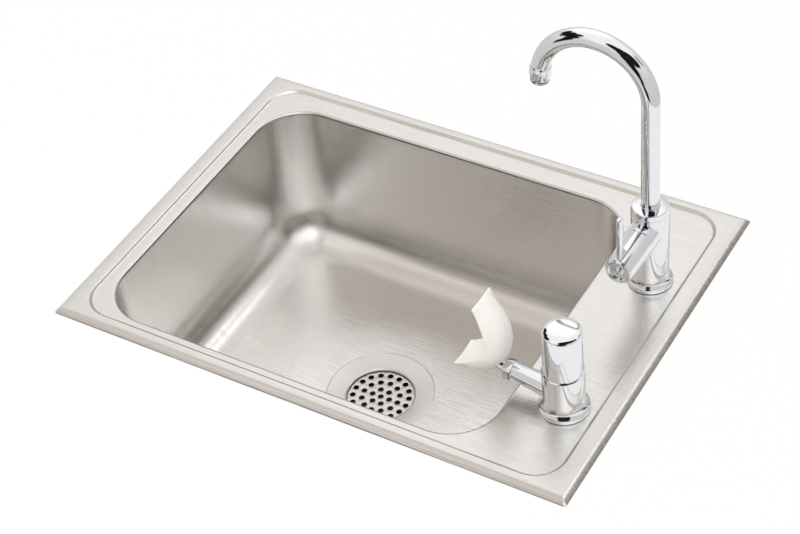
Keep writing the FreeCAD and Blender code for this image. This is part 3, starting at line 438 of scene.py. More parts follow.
@dataclass(frozen=True)
class MouldedPlastic(Finish):
    """Plastic that lets a little light in, by a radius in metres for each colour."""

    metallic: float = 0.0
    depth: float = 0.0
    depth_radius: Point = (0.004, 0.003, 0.002)

    def gloss(self, shader: Node) -> None:
        """Lets light into the plastic."""
        shader.inputs["Subsurface Weight"].default_value = self.depth
        shader.inputs["Subsurface Radius"].default_value = self.depth_radius


def quarter_turn(steps: int) -> list[float]:
    """Angles of a quarter turn in equal steps."""
    return [math.radians(90 * step / steps) for step in range(steps + 1)]


class Workshop:
    """Models pieces with Blender's operators, and dresses them over the frame."""

    ARC_STEPS = 6

    def __init__(self, frame: dict, finishes: Sequence[Finish]) -> None:
        """Makes the materials.

        Args:
            finishes: One finish for each slot.
        """
        self.frame = frame
        groups = SurfaceGroups()
        self.materials = {finish.slot: finish.material(groups) for finish in finishes}
        bodies = frame["record"]["behaviour"]["bodies"]
        self.body_of = {node: body for body, nodes in bodies.items() for node in nodes}
        self.slot_of = {row["node"]: Slot(row["material_slot"]) for row in frame["record"]["subparts"]}
        self.undressed = set(self.slot_of)

    @staticmethod
    def only(piece: Piece) -> None:
        """Selects one piece and makes it active."""
        bpy.ops.object.select_all(action="DESELECT")
        piece.select_set(True)
        bpy.context.view_layer.objects.active = piece

    @contextmanager
    def editing(self, piece: Piece) -> Iterator[None]:
        """Opens a piece in edit mode with all of it selected, and closes it again."""
        self.only(piece)
        bpy.ops.object.mode_set(mode="EDIT")
        bpy.ops.mesh.select_mode(type="VERT")
        bpy.ops.mesh.select_all(action="SELECT")
        yield
        bpy.ops.object.mode_set(mode="OBJECT")

    @staticmethod
    def take(name: str) -> Piece:
        """Names the object that the last operator made."""
        piece = bpy.context.object
        piece.name = name
        piece.data.name = name
        return piece

    def start(self, name: str, primitive: Callable, **settings: object) -> Piece:
        """Starts a piece from one of Blender's primitives.

        Args:
            name: Name of the piece.
            primitive: Operator that adds the primitive.
            **settings: What the operator is told.

        Returns:
            The new piece.
        """
        bpy.ops.object.select_all(action="DESELECT")
        primitive(**settings)
        return self.take(name)

    def modify(self, piece: Piece, kind: str, **settings: object) -> None:
        """Adds a modifier and applies it.

        Args:
            piece: Piece to change.
            kind: Blender's name of the modifier type.
            **settings: Properties of the modifier.
        """
        self.only(piece)
        bpy.ops.object.modifier_add(type=kind)
        modifier = piece.modifiers[-1]
        for name, value in settings.items():
            setattr(modifier, name, value)
        bpy.ops.object.modifier_apply(modifier=modifier.name)

    def bevel(self, piece: Piece, width: float, segments: int, sharp: float) -> None:
        """Rounds a piece's edges that are sharper than an angle in degrees."""
        self.modify(piece, "BEVEL", width=width * MM, segments=segments, limit_method="ANGLE",
                    angle_limit=math.radians(sharp))

    def close(self, piece: Piece) -> None:
        """Merges doubled points and turns the faces outwards."""
        with self.editing(piece):
            bpy.ops.mesh.remove_doubles(threshold=MERGE_DISTANCE)
            bpy.ops.mesh.normals_make_consistent(inside=False)

    def face_up(self, piece: Piece) -> None:
        """Turns an open sheet's faces so that they mostly look up."""
        if sum(face.normal.z * face.area for face in piece.data.polygons) < 0:
            with self.editing(piece):
                bpy.ops.mesh.flip_normals()

    @staticmethod
    def pick(piece: Piece, wanted: Callable[[Vector], bool]) -> None:
        """Selects the points of an open piece that a test wants.

        Args:
            piece: Piece in edit mode.
            wanted: Test of a point's place.
        """
        bpy.ops.mesh.select_all(action="DESELECT")
        mesh = bmesh.from_edit_mesh(piece.data)
        for vertex in mesh.verts:
            vertex.select = wanted(vertex.co)
        mesh.select_flush(True)
        bmesh.update_edit_mesh(piece.data)

    def soften(self, corners: Sequence[Corner], ring: bool) -> list[Vector]:
        """Rounds the corners of a profile.

        Args:
            corners: Radius and height of each corner and, where it is rounded, its rounding.
            ring: True if the last corner leads back to the first.

        Returns:
            Points of the rounded profile in the XZ plane.
        """
        spots = [Vector((corner[0], 0, corner[1])) for corner in corners]
        points = []
        for index, (spot, corner) in enumerate(zip(spots, corners)):
            if len(corner) == 2:
                points.append(spot)
                continue
            rounding = float(corner[2])
            before = (spots[index - 1] - spot).normalized()
            after = (spots[(index + 1) % len(spots)] - spot).normalized()
            half = before.angle(after) / 2
            middle = spot + (before + after).normalized() * rounding / math.sin(half)
            start = spot + before * rounding / math.tan(half) - middle
            end = spot + after * rounding / math.tan(half) - middle
            shares = [step / self.ARC_STEPS for step in range(self.ARC_STEPS + 1)]
            points += [middle + start.slerp(end, share) for share in shares]
        return points + [points[0]] if ring else points

    def lathe(self, name: str, corners: Sequence[Corner], base: Sequence[float] = (0, 0, 0),
              way: Sequence[float] = Facing.UP.value, ring: bool = False, steps: int = 96) -> Piece:
        """Turns a profile about an axis.

        Args:
            name: Name of the piece.
            corners: Radius and height along the axis of each corner and, where it is rounded, its rounding.
            base: Point of the axis at height 0.
            way: Where the axis points.
            ring: True if the profile is closed and stays clear of the axis.
            steps: Steps of the full turn.

        Returns:
            The closed piece.
        """
        points = [point * MM for point in self.soften(corners, ring)]
        piece = self.start(name, bpy.ops.mesh.primitive_plane_add, size=MM)
        with self.editing(piece):
            bpy.ops.mesh.merge(type="CENTER")
            bpy.ops.transform.translate(value=points[0])
            for start, end in zip(points, points[1:]):
                bpy.ops.mesh.extrude_vertices_move(TRANSFORM_OT_translate={"value": end - start})
            bpy.ops.mesh.select_all(action="SELECT")
            bpy.ops.mesh.spin(steps=steps, angle=math.tau, center=(0, 0, 0), axis=(0, 0, 1))
        self.close(piece)
        turn = Vector((0, 0, 1)).rotation_difference(Vector(way)).to_matrix().to_4x4()
        piece.data.transform(Matrix.Translation(Vector(base) * MM) @ turn)
        return piece

    def loft(self, name: str, rings: Sequence[Sequence[Vector]]) -> Piece:
        """Draws a skin through rings of equally many points, extruded one from the other.

        Args:
            name: Name of the piece.
            rings: Points of each ring in millimetres, all in the same order.

        Returns:
            The open skin.
        """
        circle = {"vertices": len(rings[0]), "fill_type": "NOTHING"}
        piece = self.start(name, bpy.ops.mesh.primitive_circle_add, **circle)
        with self.editing(piece):
            mesh = bmesh.from_edit_mesh(piece.data)
            place = mesh.verts.layers.int.new("place")
            for index, vertex in enumerate(mesh.verts):
                vertex[place] = index
            for count, ring in enumerate(rings):
                if count:
                    bpy.ops.mesh.extrude_edges_move()
                mesh = bmesh.from_edit_mesh(piece.data)
                place = mesh.verts.layers.int["place"]
                for vertex in mesh.verts:
                    if vertex.select:
                        vertex.co = ring[vertex[place]] * MM
            mesh.verts.layers.int.remove(place)
            bmesh.update_edit_mesh(piece.data)
        return piece

    def cast(self, node: str) -> Piece:
        """Takes a merged copy of a CAD node.

        Args:
            node: Name of the CAD node.

        Returns:
            The copy, free of the frame.
        """
        self.only(self.frame["nodes"][node])
        bpy.ops.object.duplicate()
        piece = self.take(node + "_surface")
        piece.parent = None
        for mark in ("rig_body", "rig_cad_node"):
            del piece[mark]
        with self.editing(piece):
            bpy.ops.mesh.remove_doubles(threshold=MERGE_DISTANCE)
        return piece

    def join(self, name: str, pieces: Sequence[Piece]) -> Piece:
        """Makes one piece of several.

        Args:
            name: Name of the joined piece.
            pieces: Pieces to join.

        Returns:
            The joined piece.
        """
        self.only(pieces[0])
        for piece in pieces[1:]:
            piece.select_set(True)
        bpy.ops.object.join()
        return self.take(name)

    def settle(self, piece: Piece, *nodes: str, crease: float = 35.0) -> None:
        """Shades a finished piece and puts it in the place of its CAD nodes.

        Args:
            piece: Finished piece.
            *nodes: CAD nodes that it stands for, all on one body and of one finish.
            crease: Angle in degrees past which an edge stays sharp.
        """
        self.only(piece)
        bpy.ops.object.shade_smooth_by_angle(angle=math.radians(crease))
        slot = self.slot_of[nodes[0]]
        piece.data.materials.clear()
        piece.data.materials.append(self.materials[slot])
        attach(piece, self.body_of[nodes[0]])
        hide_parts(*nodes)
        self.undressed -= set(nodes)
        LOG.info("%s stands for %s in %s", piece.name, ", ".join(nodes), slot.value)

    @staticmethod
    def span(node: str) -> tuple[Vector, Vector]:
        """Lowest and highest corner of a CAD node in millimetres."""
        low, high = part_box(node)
        return low / MM, high / MM

    def upright(self, node: str, height: float = 0.0) -> Vector:
        """The point at a height on the upright axis through a CAD node's middle."""
        low, high = self.span(node)
        return Vector(((low.x + high.x) / 2, (low.y + high.y) / 2, height))

    def radius(self, node: str) -> float:
        """Half the width of a CAD node along X."""
        low, high = self.span(node)
        return (high.x - low.x) / 2


@dataclass(frozen=True)
class Outline:
    """A rectangle with rounded corners, at one height."""

    left: float
    right: float
    front: float
    back: float
    corner: float
    height: float

    ARC_STEPS = 14
    SIDE_STEPS = 8

    def grown(self, by: float, height: float, tightest: float = 0.8) -> "Outline":
        """The outline moved outwards.

        Args:
            by: Distance, negative to move inwards.
            height: New height.
            tightest: Smallest corner that is left.

        Returns:
            The new outline.
        """
        return Outline(self.left - by, self.right + by, self.front - by, self.back + by,
                       max(self.corner + by, tightest), height)

    def points(self) -> list[Vector]:
        """Points round the outline, from the right side's back end, counter-clockwise."""
        corners = [(self.right, self.back, -1, -1), (self.left, self.back, 1, -1),
                   (self.left, self.front, 1, 1), (self.right, self.front, -1, 1)]
        arcs = []
        for quarter, (x, y, inward_x, inward_y) in enumerate(corners):
            middle = Vector((x + inward_x * self.corner, y + inward_y * self.corner, self.height))
            shares = [step / self.ARC_STEPS for step in range(self.ARC_STEPS + 1)]
            turns = [math.radians(90 * (quarter + share)) for share in shares]
            spokes = [Vector((math.cos(turn), math.sin(turn), 0)) for turn in turns]
            arcs.append([middle + self.corner * spoke for spoke in spokes])
        points = []
        for arc, following in zip(arcs, arcs[1:] + arcs[:1]):
            points += arc
            shares = [step / self.SIDE_STEPS for step in range(1, self.SIDE_STEPS)]
            points += [arc[-1].lerp(following[0], share) for share in shares]
        return points


@dataclass
class Assembly:
    """Pieces that belong together, built in a workshop that knows the frame."""

    shop: Workshop


@dataclass
class Basin(Assembly):
    """The drawn sheet: raised border with a sloped lip, recessed field, ledge and deep bowl.

    The lip's toe is given by insets and shares of the foot's height, its slope by shares of run and rise.
    """

    rim_corner: float = 3.0
    lip_corner: float = 0.8
    lip_run: float = 6.0
    lip_foot: float = 1.0
    lip_toe: tuple[Pair, ...] = ((0.0, 0.0), (0.0, 0.6), (0.15, 1.0))
    lip_slope: tuple[Pair, ...] = ((0.1, 0.1), (0.5, 0.52), (0.85, 0.88))
    lip_brow: float = 0.12
    lip_end: float = 1.15
    field_drop: float = 3.0
    field_left: float = 20.0
    field_right: float = 22.0
    field_side: float = 15.0
    field_corner: float = 30.0
    step_run: float = 4.0
    margin_left: float = 13.5
    margin_front: float = 10.5
    margin_back: float = 23.5
    ledge: float = 82.5
    brink: float = 2.0
    bowl_corner: float = 50.0
    bowl_edge: float = 3.6
    bowl_depth: float = 178.0
    bowl_draft: float = 1.0
    bowl_cove: float = 44.0
    wall_shares: tuple[float, ...] = (0.03, 0.3, 0.65, 0.97)
    dish_radius: float = 105.0
    dish_drop: float = 2.5
    dish_curve: float = 1.5
    flange_wall: float = 2.0
    flange_recess: float = 57.3
    recess_round: float = 0.2
    recess_draft: float = 0.3
    drain_hole: float = 44.5
    sheet: float = 1.2

    BEND_STEPS = 8
    COVE_STEPS = 12

    def outlines(self) -> tuple[Outline, Outline, Outline]:
        """Works out the main outlines from the frame.

        Returns:
            The rim on the worktop, the field and the bowl's mouth.
        """
        low, high = self.shop.span("sink_basin")
        rim = Outline(low.x, high.x, low.y, high.y, self.rim_corner, 0.0)
        floor = high.z - self.field_drop
        deck = Outline(rim.left + self.field_left, rim.right - self.field_right, rim.front + self.field_side,
                       rim.back - self.field_side, self.field_corner, floor)
        bowl = Outline(deck.left + self.margin_left, deck.right - self.ledge, deck.front + self.margin_front,
                       deck.back - self.margin_back, self.bowl_corner, floor)
        return rim, deck, bowl

    def rim_rings(self, rim: Outline, deck: Outline, top: float) -> list[list[Vector]]:
        """Rings of the lip, the border and the step down to the field.

        Args:
            rim: Outline on the worktop.
            deck: Outline of the recessed field.
            top: Height of the border.

        Returns:
            Rings from the worktop inwards.
        """
        slope = top - self.lip_foot
        lip = [(inset, share * self.lip_foot) for inset, share in self.lip_toe]
        lip += [(run * self.lip_run, self.lip_foot + rise * slope) for run, rise in self.lip_slope]
        lip += [(self.lip_run, top - self.lip_brow), (self.lip_end * self.lip_run, top)]
        rings = [rim.grown(-inset, height, self.lip_corner).points() for inset, height in lip]
        for step in range(-1, self.BEND_STEPS + 2):
            share = min(max(step / self.BEND_STEPS, 0.0), 1.0)
            inset = self.step_run * (step / self.BEND_STEPS - 0.5)
            drop = self.field_drop * (1 - math.cos(math.pi * share)) / 2
            rings.append(deck.grown(-inset, top - drop).points())
        return rings

    def bowl_rings(self, bowl: Outline, drain: Vector) -> list[list[Vector]]:
        """Rings of the bowl's rolled edge, wall, cove and floor down to the drain.

        Args:
            bowl: Outline of the bowl's mouth.
            drain: Middle of the drain, on the floor's plane.

        Returns:
            Rings from the field inwards.
        """
        rings = [bowl.grown(self.bowl_edge + self.brink, bowl.height).points()]
        for turn in quarter_turn(self.BEND_STEPS):
            drop = self.bowl_edge * (1 - math.cos(turn))
            rings.append(bowl.grown(self.bowl_edge * (1 - math.sin(turn)), bowl.height - drop).points())
        top = bowl.height - self.bowl_edge
        wall = top - drain.z - self.bowl_cove
        lean = math.tan(math.radians(self.bowl_draft))
        for share in self.wall_shares:
            rings.append(bowl.grown(-lean * wall * share, top - wall * share).points())
        for turn in quarter_turn(self.COVE_STEPS):
            inset = lean * wall + self.bowl_cove * (1 - math.cos(turn))
            rings.append(bowl.grown(-inset, drain.z + self.bowl_cove * (1 - math.sin(turn))).points())
        arms = [(point - drain).normalized() for point in rings[-1]]
        rings.append([point.lerp(drain + arm * self.dish_radius, 0.5) for point, arm in zip(rings[-1], arms)])
        circles = []
        for step in range(self.BEND_STEPS + 1):
            share = step / self.BEND_STEPS
            reach = self.dish_radius + (self.flange_recess - self.dish_radius) * share
            circles.append((reach, self.dish_drop * share ** self.dish_curve))
        seat = self.dish_drop + self.flange_wall
        circles += [(self.flange_recess - self.recess_round, self.dish_drop + self.recess_round),
                    (self.flange_recess - self.recess_draft, seat), (self.drain_hole, seat)]
        for reach, drop in circles:
            rings.append([drain + arm * reach - Vector((0, 0, drop)) for arm in arms])
        return rings

    def build(self) -> None:
        """Draws the sheet and gives it its thickness."""
        rim, deck, bowl = self.outlines()
        drain = self.shop.upright("drain_body", bowl.height - self.bowl_depth)
        rings = self.rim_rings(rim, deck, deck.height + self.field_drop) + self.bowl_rings(bowl, drain)
        skin = self.shop.loft("basin_sheet", rings)
        self.shop.face_up(skin)
        self.shop.modify(skin, "SOLIDIFY", thickness=self.sheet * MM, offset=-1.0, use_rim=True)
        self.shop.settle(skin, "sink_basin")


@dataclass
class Drain(Assembly):
    """Flanged drain with its perforated grid. The cup's lip is given by its run and its drop."""

    cup_clearance: float = 0.9
    cup_lip: Pair = (1.0, 1.2)
    dish_drop: float = 3.0
    flange_wall: float = 2.0
    grid_seat: float = 7.5
    ledge: float = 3.0
    wall: float = 2.0
    neck: float = 43.5
    neck_length: float = 28.0
    cup_depth: float = 47.5
    spud_bore: float = 17.75
    spud: float = 22.5
    grid_edge: float = 0.35

    def build(self) -> None:
        """Turns the drain body and dresses the grid."""
        low, high = self.shop.span("drain_body")
        flange = self.shop.radius("drain_body")
        cup = self.shop.radius("strainer_grid") + self.cup_clearance
        bottom = low.z - high.z
        inside = self.neck - self.wall
        lip_run, lip_drop = self.cup_lip
        step = -self.grid_seat - self.wall
        neck_end = -self.neck_length - self.flange_wall
        body = self.shop.lathe("drain_flange", [
            (flange, -self.flange_wall, Edge.PLAIN), (flange, 0, Edge.SOFT),
            (cup + lip_run, -self.dish_drop, Edge.SOFT), (cup, -self.dish_drop - lip_drop, Edge.FINE),
            (cup, -self.grid_seat), (cup - self.ledge, -self.grid_seat, Edge.FINE), (cup - self.ledge, step),
            (inside, step - self.ledge), (inside, neck_end), (self.spud_bore, -self.cup_depth),
            (self.spud_bore, bottom), (self.spud, bottom),
            (self.spud, -self.cup_depth - self.wall, Edge.EASED),
            (self.neck, neck_end - self.wall, Edge.EASED), (self.neck, -self.flange_wall),
        ], self.shop.upright("drain_body", high.z), ring=True, steps=128)
        self.shop.settle(body, "drain_body")
        grid = self.shop.cast("strainer_grid")
        self.shop.bevel(grid, self.grid_edge, segments=2, sharp=40)
        self.shop.settle(grid, "strainer_grid")


@dataclass
class Fitting(Assembly):
    """A turned fitting on the ledge, which stands on a flared foot."""

    radius: float = 18.0
    base_height: float = 3.0
    base_round: float = 0.7
    flare_height: float = 10.0

    FLARE_SHARES = (0.12, 0.25, 0.4, 0.55, 0.7, 0.85, 1.0)
    FLARE_CURVE = 2.2

    def flared_foot(self, base: float, ground: float) -> list[Corner]:
        """Corners of the profile from the axis out to the base and up the flare.

        Args:
            base: Radius of the base.
            ground: Height of the base's underside.

        Returns:
            The corners, which end at the fitting's own radius.
        """
        foot = ground + self.base_height
        flare = [(self.radius + (base - self.radius) * (1 - share) ** self.FLARE_CURVE,
                  foot + self.flare_height * share) for share in self.FLARE_SHARES]
        return [(0, ground), (base, ground, Edge.PLAIN), (base, foot, self.base_round), *flare]


@dataclass
class Tap(Fitting):
    """Gooseneck tap with a side lever.

    The collar and the sleeve are given by where they start and stop along the outlet's axis, and the end
    cap's groove by the insets of its top and its floor.
    """

    bonnet_height: float = 6.0
    bonnet_round: float = 1.5
    bonnet_gap: float = 0.3
    spout_radius: float = 9.0
    spout_wall: float = 1.5
    bend: float = 55.0
    sweep: float = 175.0
    tail: float = 6.0
    outlet_radius: float = 9.7
    outlet_wall: float = 1.8
    collar: Pair = (-5.0, 2.0)
    collar_slope: float = 0.8
    sleeve: Pair = (2.3, 9.6)
    sleeve_round: float = 1.2
    sleeve_floor: float = 2.0
    boss: float = 15.3
    hub_end: float = 13.8
    hub_round: float = 1.2
    cap: float = 12.0
    cap_gap: float = 0.1
    cap_groove: Pair = (1.6, 2.2)
    cap_groove_depth: float = 0.5
    cap_button: float = 4.0
    cap_button_slope: float = 0.8
    blade_width: float = 5.8
    blade_thickness: float = 5.0
    blade_gusset: float = 26.0
    blade_root: float = 11.0
    blade_slope: float = 0.75
    blade_round: float = 1.5

    @cached_property
    def axis(self) -> Vector:
        """Where the tap's upright axis meets the worktop's plane."""
        return self.shop.upright("spout_bonnet")

    def bend_height(self) -> float:
        """Height at which the riser turns into the bend."""
        return self.shop.span("gooseneck_spout")[1].z - self.spout_radius - self.bend

    def heading(self) -> Vector:
        """Where the spout points at the end of its bend."""
        turn = math.radians(self.sweep)
        return Vector((-math.sin(turn), 0, math.cos(turn)))

    def lever_height(self) -> float:
        """Height of the lever's axis."""
        low, high = self.shop.span("lever_cap")
        return (low.z + high.z) / 2

    def build(self) -> None:
        """Builds the tap from its base up."""
        self.body()
        self.bonnet()
        self.spout()
        self.outlet()
        self.lever()

    def body(self) -> None:
        """Turns the flared body and the boss that carries the lever."""
        low, high = self.shop.span("tap_body")
        foot = self.flared_foot(self.shop.radius("tap_body"), low.z)
        corners = [*foot, (self.radius, high.z, Edge.EASED), (0, high.z)]
        column = self.shop.lathe("tap_column", corners, self.axis)
        reach = self.axis.y - low.y
        boss = self.shop.lathe("tap_boss", [
            (0, 0), (self.boss, 0), (self.boss, reach, Edge.FULL), (0, reach),
        ], (self.axis.x, self.axis.y, self.lever_height()), Facing.FRONT.value)
        self.shop.settle(self.shop.join("tap_column", [column, boss]), "tap_body")

    def bonnet(self) -> None:
        """Turns the ring that holds the spout down."""
        _, high = self.shop.span("spout_bonnet")
        foot = high.z - self.bonnet_height
        hole = self.spout_radius + self.bonnet_gap
        ring = self.shop.lathe("spout_ring", [
            (hole, foot), (self.radius, foot, Edge.PLAIN), (self.radius, high.z, self.bonnet_round),
            (hole, high.z, Edge.EASED),
        ], self.axis, ring=True)
        self.shop.settle(ring, "spout_bonnet")

    def spout(self) -> None:
        """Spins a circle round the bend, and draws its ends out to the riser and the tail."""
        low, _ = self.shop.span("gooseneck_spout")
        start = Vector((self.axis.x, self.axis.y, self.bend_height())) * MM
        centre = start - Vector((self.bend * MM, 0, 0))
        piece = self.shop.start("gooseneck_tube", bpy.ops.mesh.primitive_circle_add, vertices=64,
                                radius=self.spout_radius * MM, fill_type="NOTHING", location=start)
        bpy.ops.object.transform_apply(location=True)
        with self.shop.editing(piece):
            bpy.ops.mesh.spin(steps=72, angle=math.radians(self.sweep), center=centre, axis=(0, 1, 0))
            tail = self.heading() * self.tail * MM
            bpy.ops.mesh.extrude_edges_move(TRANSFORM_OT_translate={"value": tail})
            self.shop.pick(piece, lambda place: abs(place.z - start.z) < SAME_PLACE and place.x > centre.x)
            bpy.ops.mesh.extrude_edges_move(TRANSFORM_OT_translate={"value": (0, 0, low.z * MM - start.z)})
        self.shop.close(piece)
        self.shop.settle(piece, "gooseneck_spout")

    def outlet(self) -> None:
        """Turns the collar and the outlet shell on the end of the spout."""
        turn = math.radians(self.sweep)
        end = Vector((self.axis.x - self.bend + self.bend * math.cos(turn), self.axis.y,
                      self.bend_height() + self.bend * math.sin(turn)))
        hole = self.spout_radius - self.spout_wall
        start, stop = self.collar
        collar = self.shop.lathe("outlet_collar", [
            (hole, start), (self.spout_radius, start, Edge.CRISP),
            (self.outlet_radius, start + self.collar_slope, Edge.FULL), (self.outlet_radius, stop, Edge.FINE),
            (hole, stop),
        ], end, self.heading(), ring=True)
        start, stop = self.sleeve
        bore = self.outlet_radius - self.outlet_wall
        shell = self.shop.lathe("outlet_sleeve", [
            (hole, start), (self.outlet_radius, start, Edge.FINE),
            (self.outlet_radius, stop, self.sleeve_round), (bore, stop, Edge.PLAIN),
            (bore, start + self.sleeve_floor),
        ], end, self.heading(), ring=True)
        self.shop.settle(collar, "outlet_adapter")
        self.shop.settle(shell, "outlet_shell")

    def lever(self) -> None:
        """Turns the lever's hub and end cap, and draws its blade."""
        low, high = self.shop.span("lever_handle")
        cap_low, cap_high = self.shop.span("lever_cap")
        height = self.lever_height()
        pivot = (self.axis.x, self.axis.y, height)
        start = self.axis.y - high.y
        reach = self.axis.y - low.y
        seat = self.cap + self.cap_gap
        floor = self.axis.y - cap_high.y
        hub = self.shop.lathe("lever_hub", [
            (0, start), (self.boss, start, Edge.FULL), (self.hub_end, reach, self.hub_round),
            (seat, reach, Edge.CRISP), (seat, floor), (0, floor),
        ], pivot, Facing.FRONT.value)
        blade = self.blade(Vector(pivot), reach, high.z - height)
        self.shop.settle(self.shop.join("lever_hub", [hub, blade]), "lever_handle")
        rise = self.axis.y - cap_low.y
        outer, inner = self.cap_groove
        groove = reach - self.cap_groove_depth
        cap = self.shop.lathe("lever_end_cap", [
            (0, floor), (self.cap, floor), (self.cap, reach, Edge.EASED),
            (self.cap - outer, reach, Edge.CRISP), (self.cap - inner, groove, Edge.FINE),
            (self.cap_button + self.cap_button_slope, groove, Edge.FINE),
            (self.cap_button, reach, Edge.FINE), (self.cap_button / 2, rise, Edge.PLAIN), (0, rise),
        ], pivot, Facing.FRONT.value)
        self.shop.settle(cap, "lever_cap")

    def blade(self, pivot: Vector, reach: float, top: float) -> Piece:
        """Draws the blade with its gusset.

        Args:
            pivot: Point of the lever's axis on the tap's axis.
            reach: Distance of the hub's end from the tap's axis.
            top: Height of the blade over the lever's axis.

        Returns:
            The blade, rounded at its edges.
        """
        front = pivot.y - reach + self.hub_round
        length = top - self.blade_gusset
        middle = Vector((pivot.x, front + self.blade_width / 2, pivot.z + self.blade_gusset + length / 2))
        piece = self.shop.start("lever_blade", bpy.ops.mesh.primitive_cube_add, size=1, location=middle * MM)
        piece.scale = Vector((self.blade_thickness, self.blade_width, length)) * MM
        bpy.ops.object.transform_apply(location=True, scale=True)
        foot = (pivot.z + self.blade_gusset) * MM
        drop = self.blade_gusset - self.blade_root
        with self.shop.editing(piece):
            self.shop.pick(piece, lambda place: place.z < foot + SAME_PLACE)
            bpy.ops.mesh.extrude_region_move(TRANSFORM_OT_translate={"value": (0, 0, -drop * MM)})
            self.shop.pick(piece, lambda place: place.z < foot - SAME_PLACE and place.y > middle.y * MM)
            bpy.ops.transform.translate(value=(0, drop * self.blade_slope * MM, 0))
        self.shop.close(piece)
        self.shop.bevel(piece, self.blade_round, segments=5, sharp=50)
        return piece


@dataclass
class Bubbler(Fitting):
    """Push-button drinking bubbler with a side arm, a nozzle and a mouth guard.

    The guard's fan gives each section's degrees from straight up, the distance of its long edges from the
    line that all sections fan out from, and the depth of its hollow.
    """

    radius: float = 19.5
    flare_height: float = 12.0
    cap_gap: float = 0.3
    cap_room: float = 7.5
    arm_root: float = 11.1
    arm_root_height: float = 18.25
    arm_tip: float = 8.0
    arm_tip_height: float = 27.0
    crown: float = 3.5
    crown_curve: float = 0.75
    nut_edge: float = 0.5
    nozzle_edge: float = 0.3
    nozzle_run: float = 13.5
    nozzle_rise: float = 1.34
    nozzle_angle: float = 30.0
    nozzle_hole: float = 5.4
    drill_length: float = 34.0
    guard_reach: float = 106.0
    guard_height: float = 70.0
    guard_half: float = 17.0
    guard_wall: float = 2.6
    guard_rounding: tuple[float, ...] = (88.0, 65.0, 42.0, 20.0)
    guard_fan: tuple[Point, ...] = (
        (175.4, 43.2, 1.8), (164.0, 38.6, 13.2), (150.0, 36.3, 19.4), (134.0, 35.7, 21.0),
        (117.0, 36.7, 19.8), (100.0, 35.8, 19.0), (83.0, 35.1, 17.8), (67.0, 35.6, 15.4),
        (51.0, 38.7, 10.2), (37.0, 44.6, 3.0))

    DOME_STEPS = 10
    FAN_STEPS = 5
    STRIP_STEPS = 24
    TIP_STEPS = 6

    @cached_property
    def axis(self) -> Vector:
        """Where the bubbler's upright axis meets the worktop's plane."""
        return self.shop.upright("push_cap")

    def build(self) -> None:
        """Builds the bubbler from its base up."""
        self.body()
        self.button()
        self.mouthpiece()
        self.guard()

    def body(self) -> None:
        """Turns the flared body, and the tapered arm that rises towards the bowl."""
        low, high = self.shop.span("bubbler_body")
        cap_low, _ = self.shop.span("push_cap")
        well = self.shop.radius("push_cap") + self.cap_gap
        floor = cap_low.z - self.cap_room
        column = self.shop.lathe("bubbler_column", [
            *self.flared_foot(high.x - self.axis.x, low.z), (self.radius, high.z, Edge.PLAIN),
            (well, high.z, Edge.CRISP), (well, floor), (0, floor),
        ], self.axis)
        reach = self.axis.x - low.x
        arm = self.shop.lathe("bubbler_arm", [
            (0, 0), (self.arm_root, 0), (self.arm_tip, reach, Edge.PLAIN), (0, reach),
        ], way=Facing.BOWL.value)
        slope = (self.arm_tip_height - self.arm_root_height) / reach
        rising = Matrix(((1, 0, 0, 0), (0, 1, 0, 0), (-slope, 0, 1, 0), (0, 0, 0, 1)))
        place = Vector((self.axis.x, self.axis.y, self.arm_root_height)) * MM
        arm.data.transform(Matrix.Translation(place) @ rising)
        self.shop.settle(self.shop.join("bubbler_column", [column, arm]), "bubbler_body")

    def button(self) -> None:
        """Turns the domed push cap."""
        low, high = self.shop.span("push_cap")
        radius = self.shop.radius("push_cap")
        side_top = high.z - self.crown
        dome = [(radius * math.cos(turn), side_top + self.crown * math.sin(turn) ** self.crown_curve)
                for turn in quarter_turn(self.DOME_STEPS)[1:-1]]
        cap = self.shop.lathe("push_button", [
            (0, low.z), (radius, low.z, Edge.FINE), (radius, side_top), *dome, (0, high.z),
        ], self.axis)
        self.shop.settle(cap, "push_cap")

    def mouthpiece(self) -> None:
        """Dresses the arm nut and the nozzle."""
        for node, edge in (("arm_nut", self.nut_edge), ("nozzle", self.nozzle_edge)):
            piece = self.shop.cast(node)
            with self.shop.editing(piece):
                bpy.ops.mesh.dissolve_limited(angle_limit=math.radians(1))
            self.shop.bevel(piece, edge, segments=3, sharp=40)
            self.shop.settle(piece, node)

    def guard_ring(self, angle: float, edge: float, hollow: float, share: float, lead: float) -> list[Vector]:
        """One section of the mouth guard: a bent strip with round edges.

        Args:
            angle: Degrees from straight up, about the line that all the sections fan out from.
            edge: Distance of the strip's long edges from that line.
            hollow: Depth of the strip's hollow.
            share: Share of the full wall.
            lead: Distance by which the section is moved along the fan.

        Returns:
            Points round the section.
        """
        radius = (self.guard_half ** 2 + hollow ** 2) / (2 * hollow)
        thin = self.guard_wall / 2
        middle = radius - thin
        reach = math.atan2(self.guard_half, radius - hollow) - thin / middle
        turn = math.radians(angle)
        line = Vector((self.axis.x - self.guard_reach, self.axis.y, self.guard_height))
        out = Vector((math.sin(turn), 0, math.cos(turn)))
        along = Vector((math.cos(turn), 0, -math.sin(turn)))

        def spot(bend: float, off: float, past: float) -> Vector:
            """A point by its angle on the bend and its distances across and along the wall."""
            across = Vector((0, math.sin(bend), math.cos(bend)))
            up = Vector((0, math.cos(bend), -math.sin(bend)))
            flat = across * (middle + off * share) + up * past * share
            return line + Vector((0, flat.y, 0)) + out * (edge + hollow - radius + flat.z) + along * lead

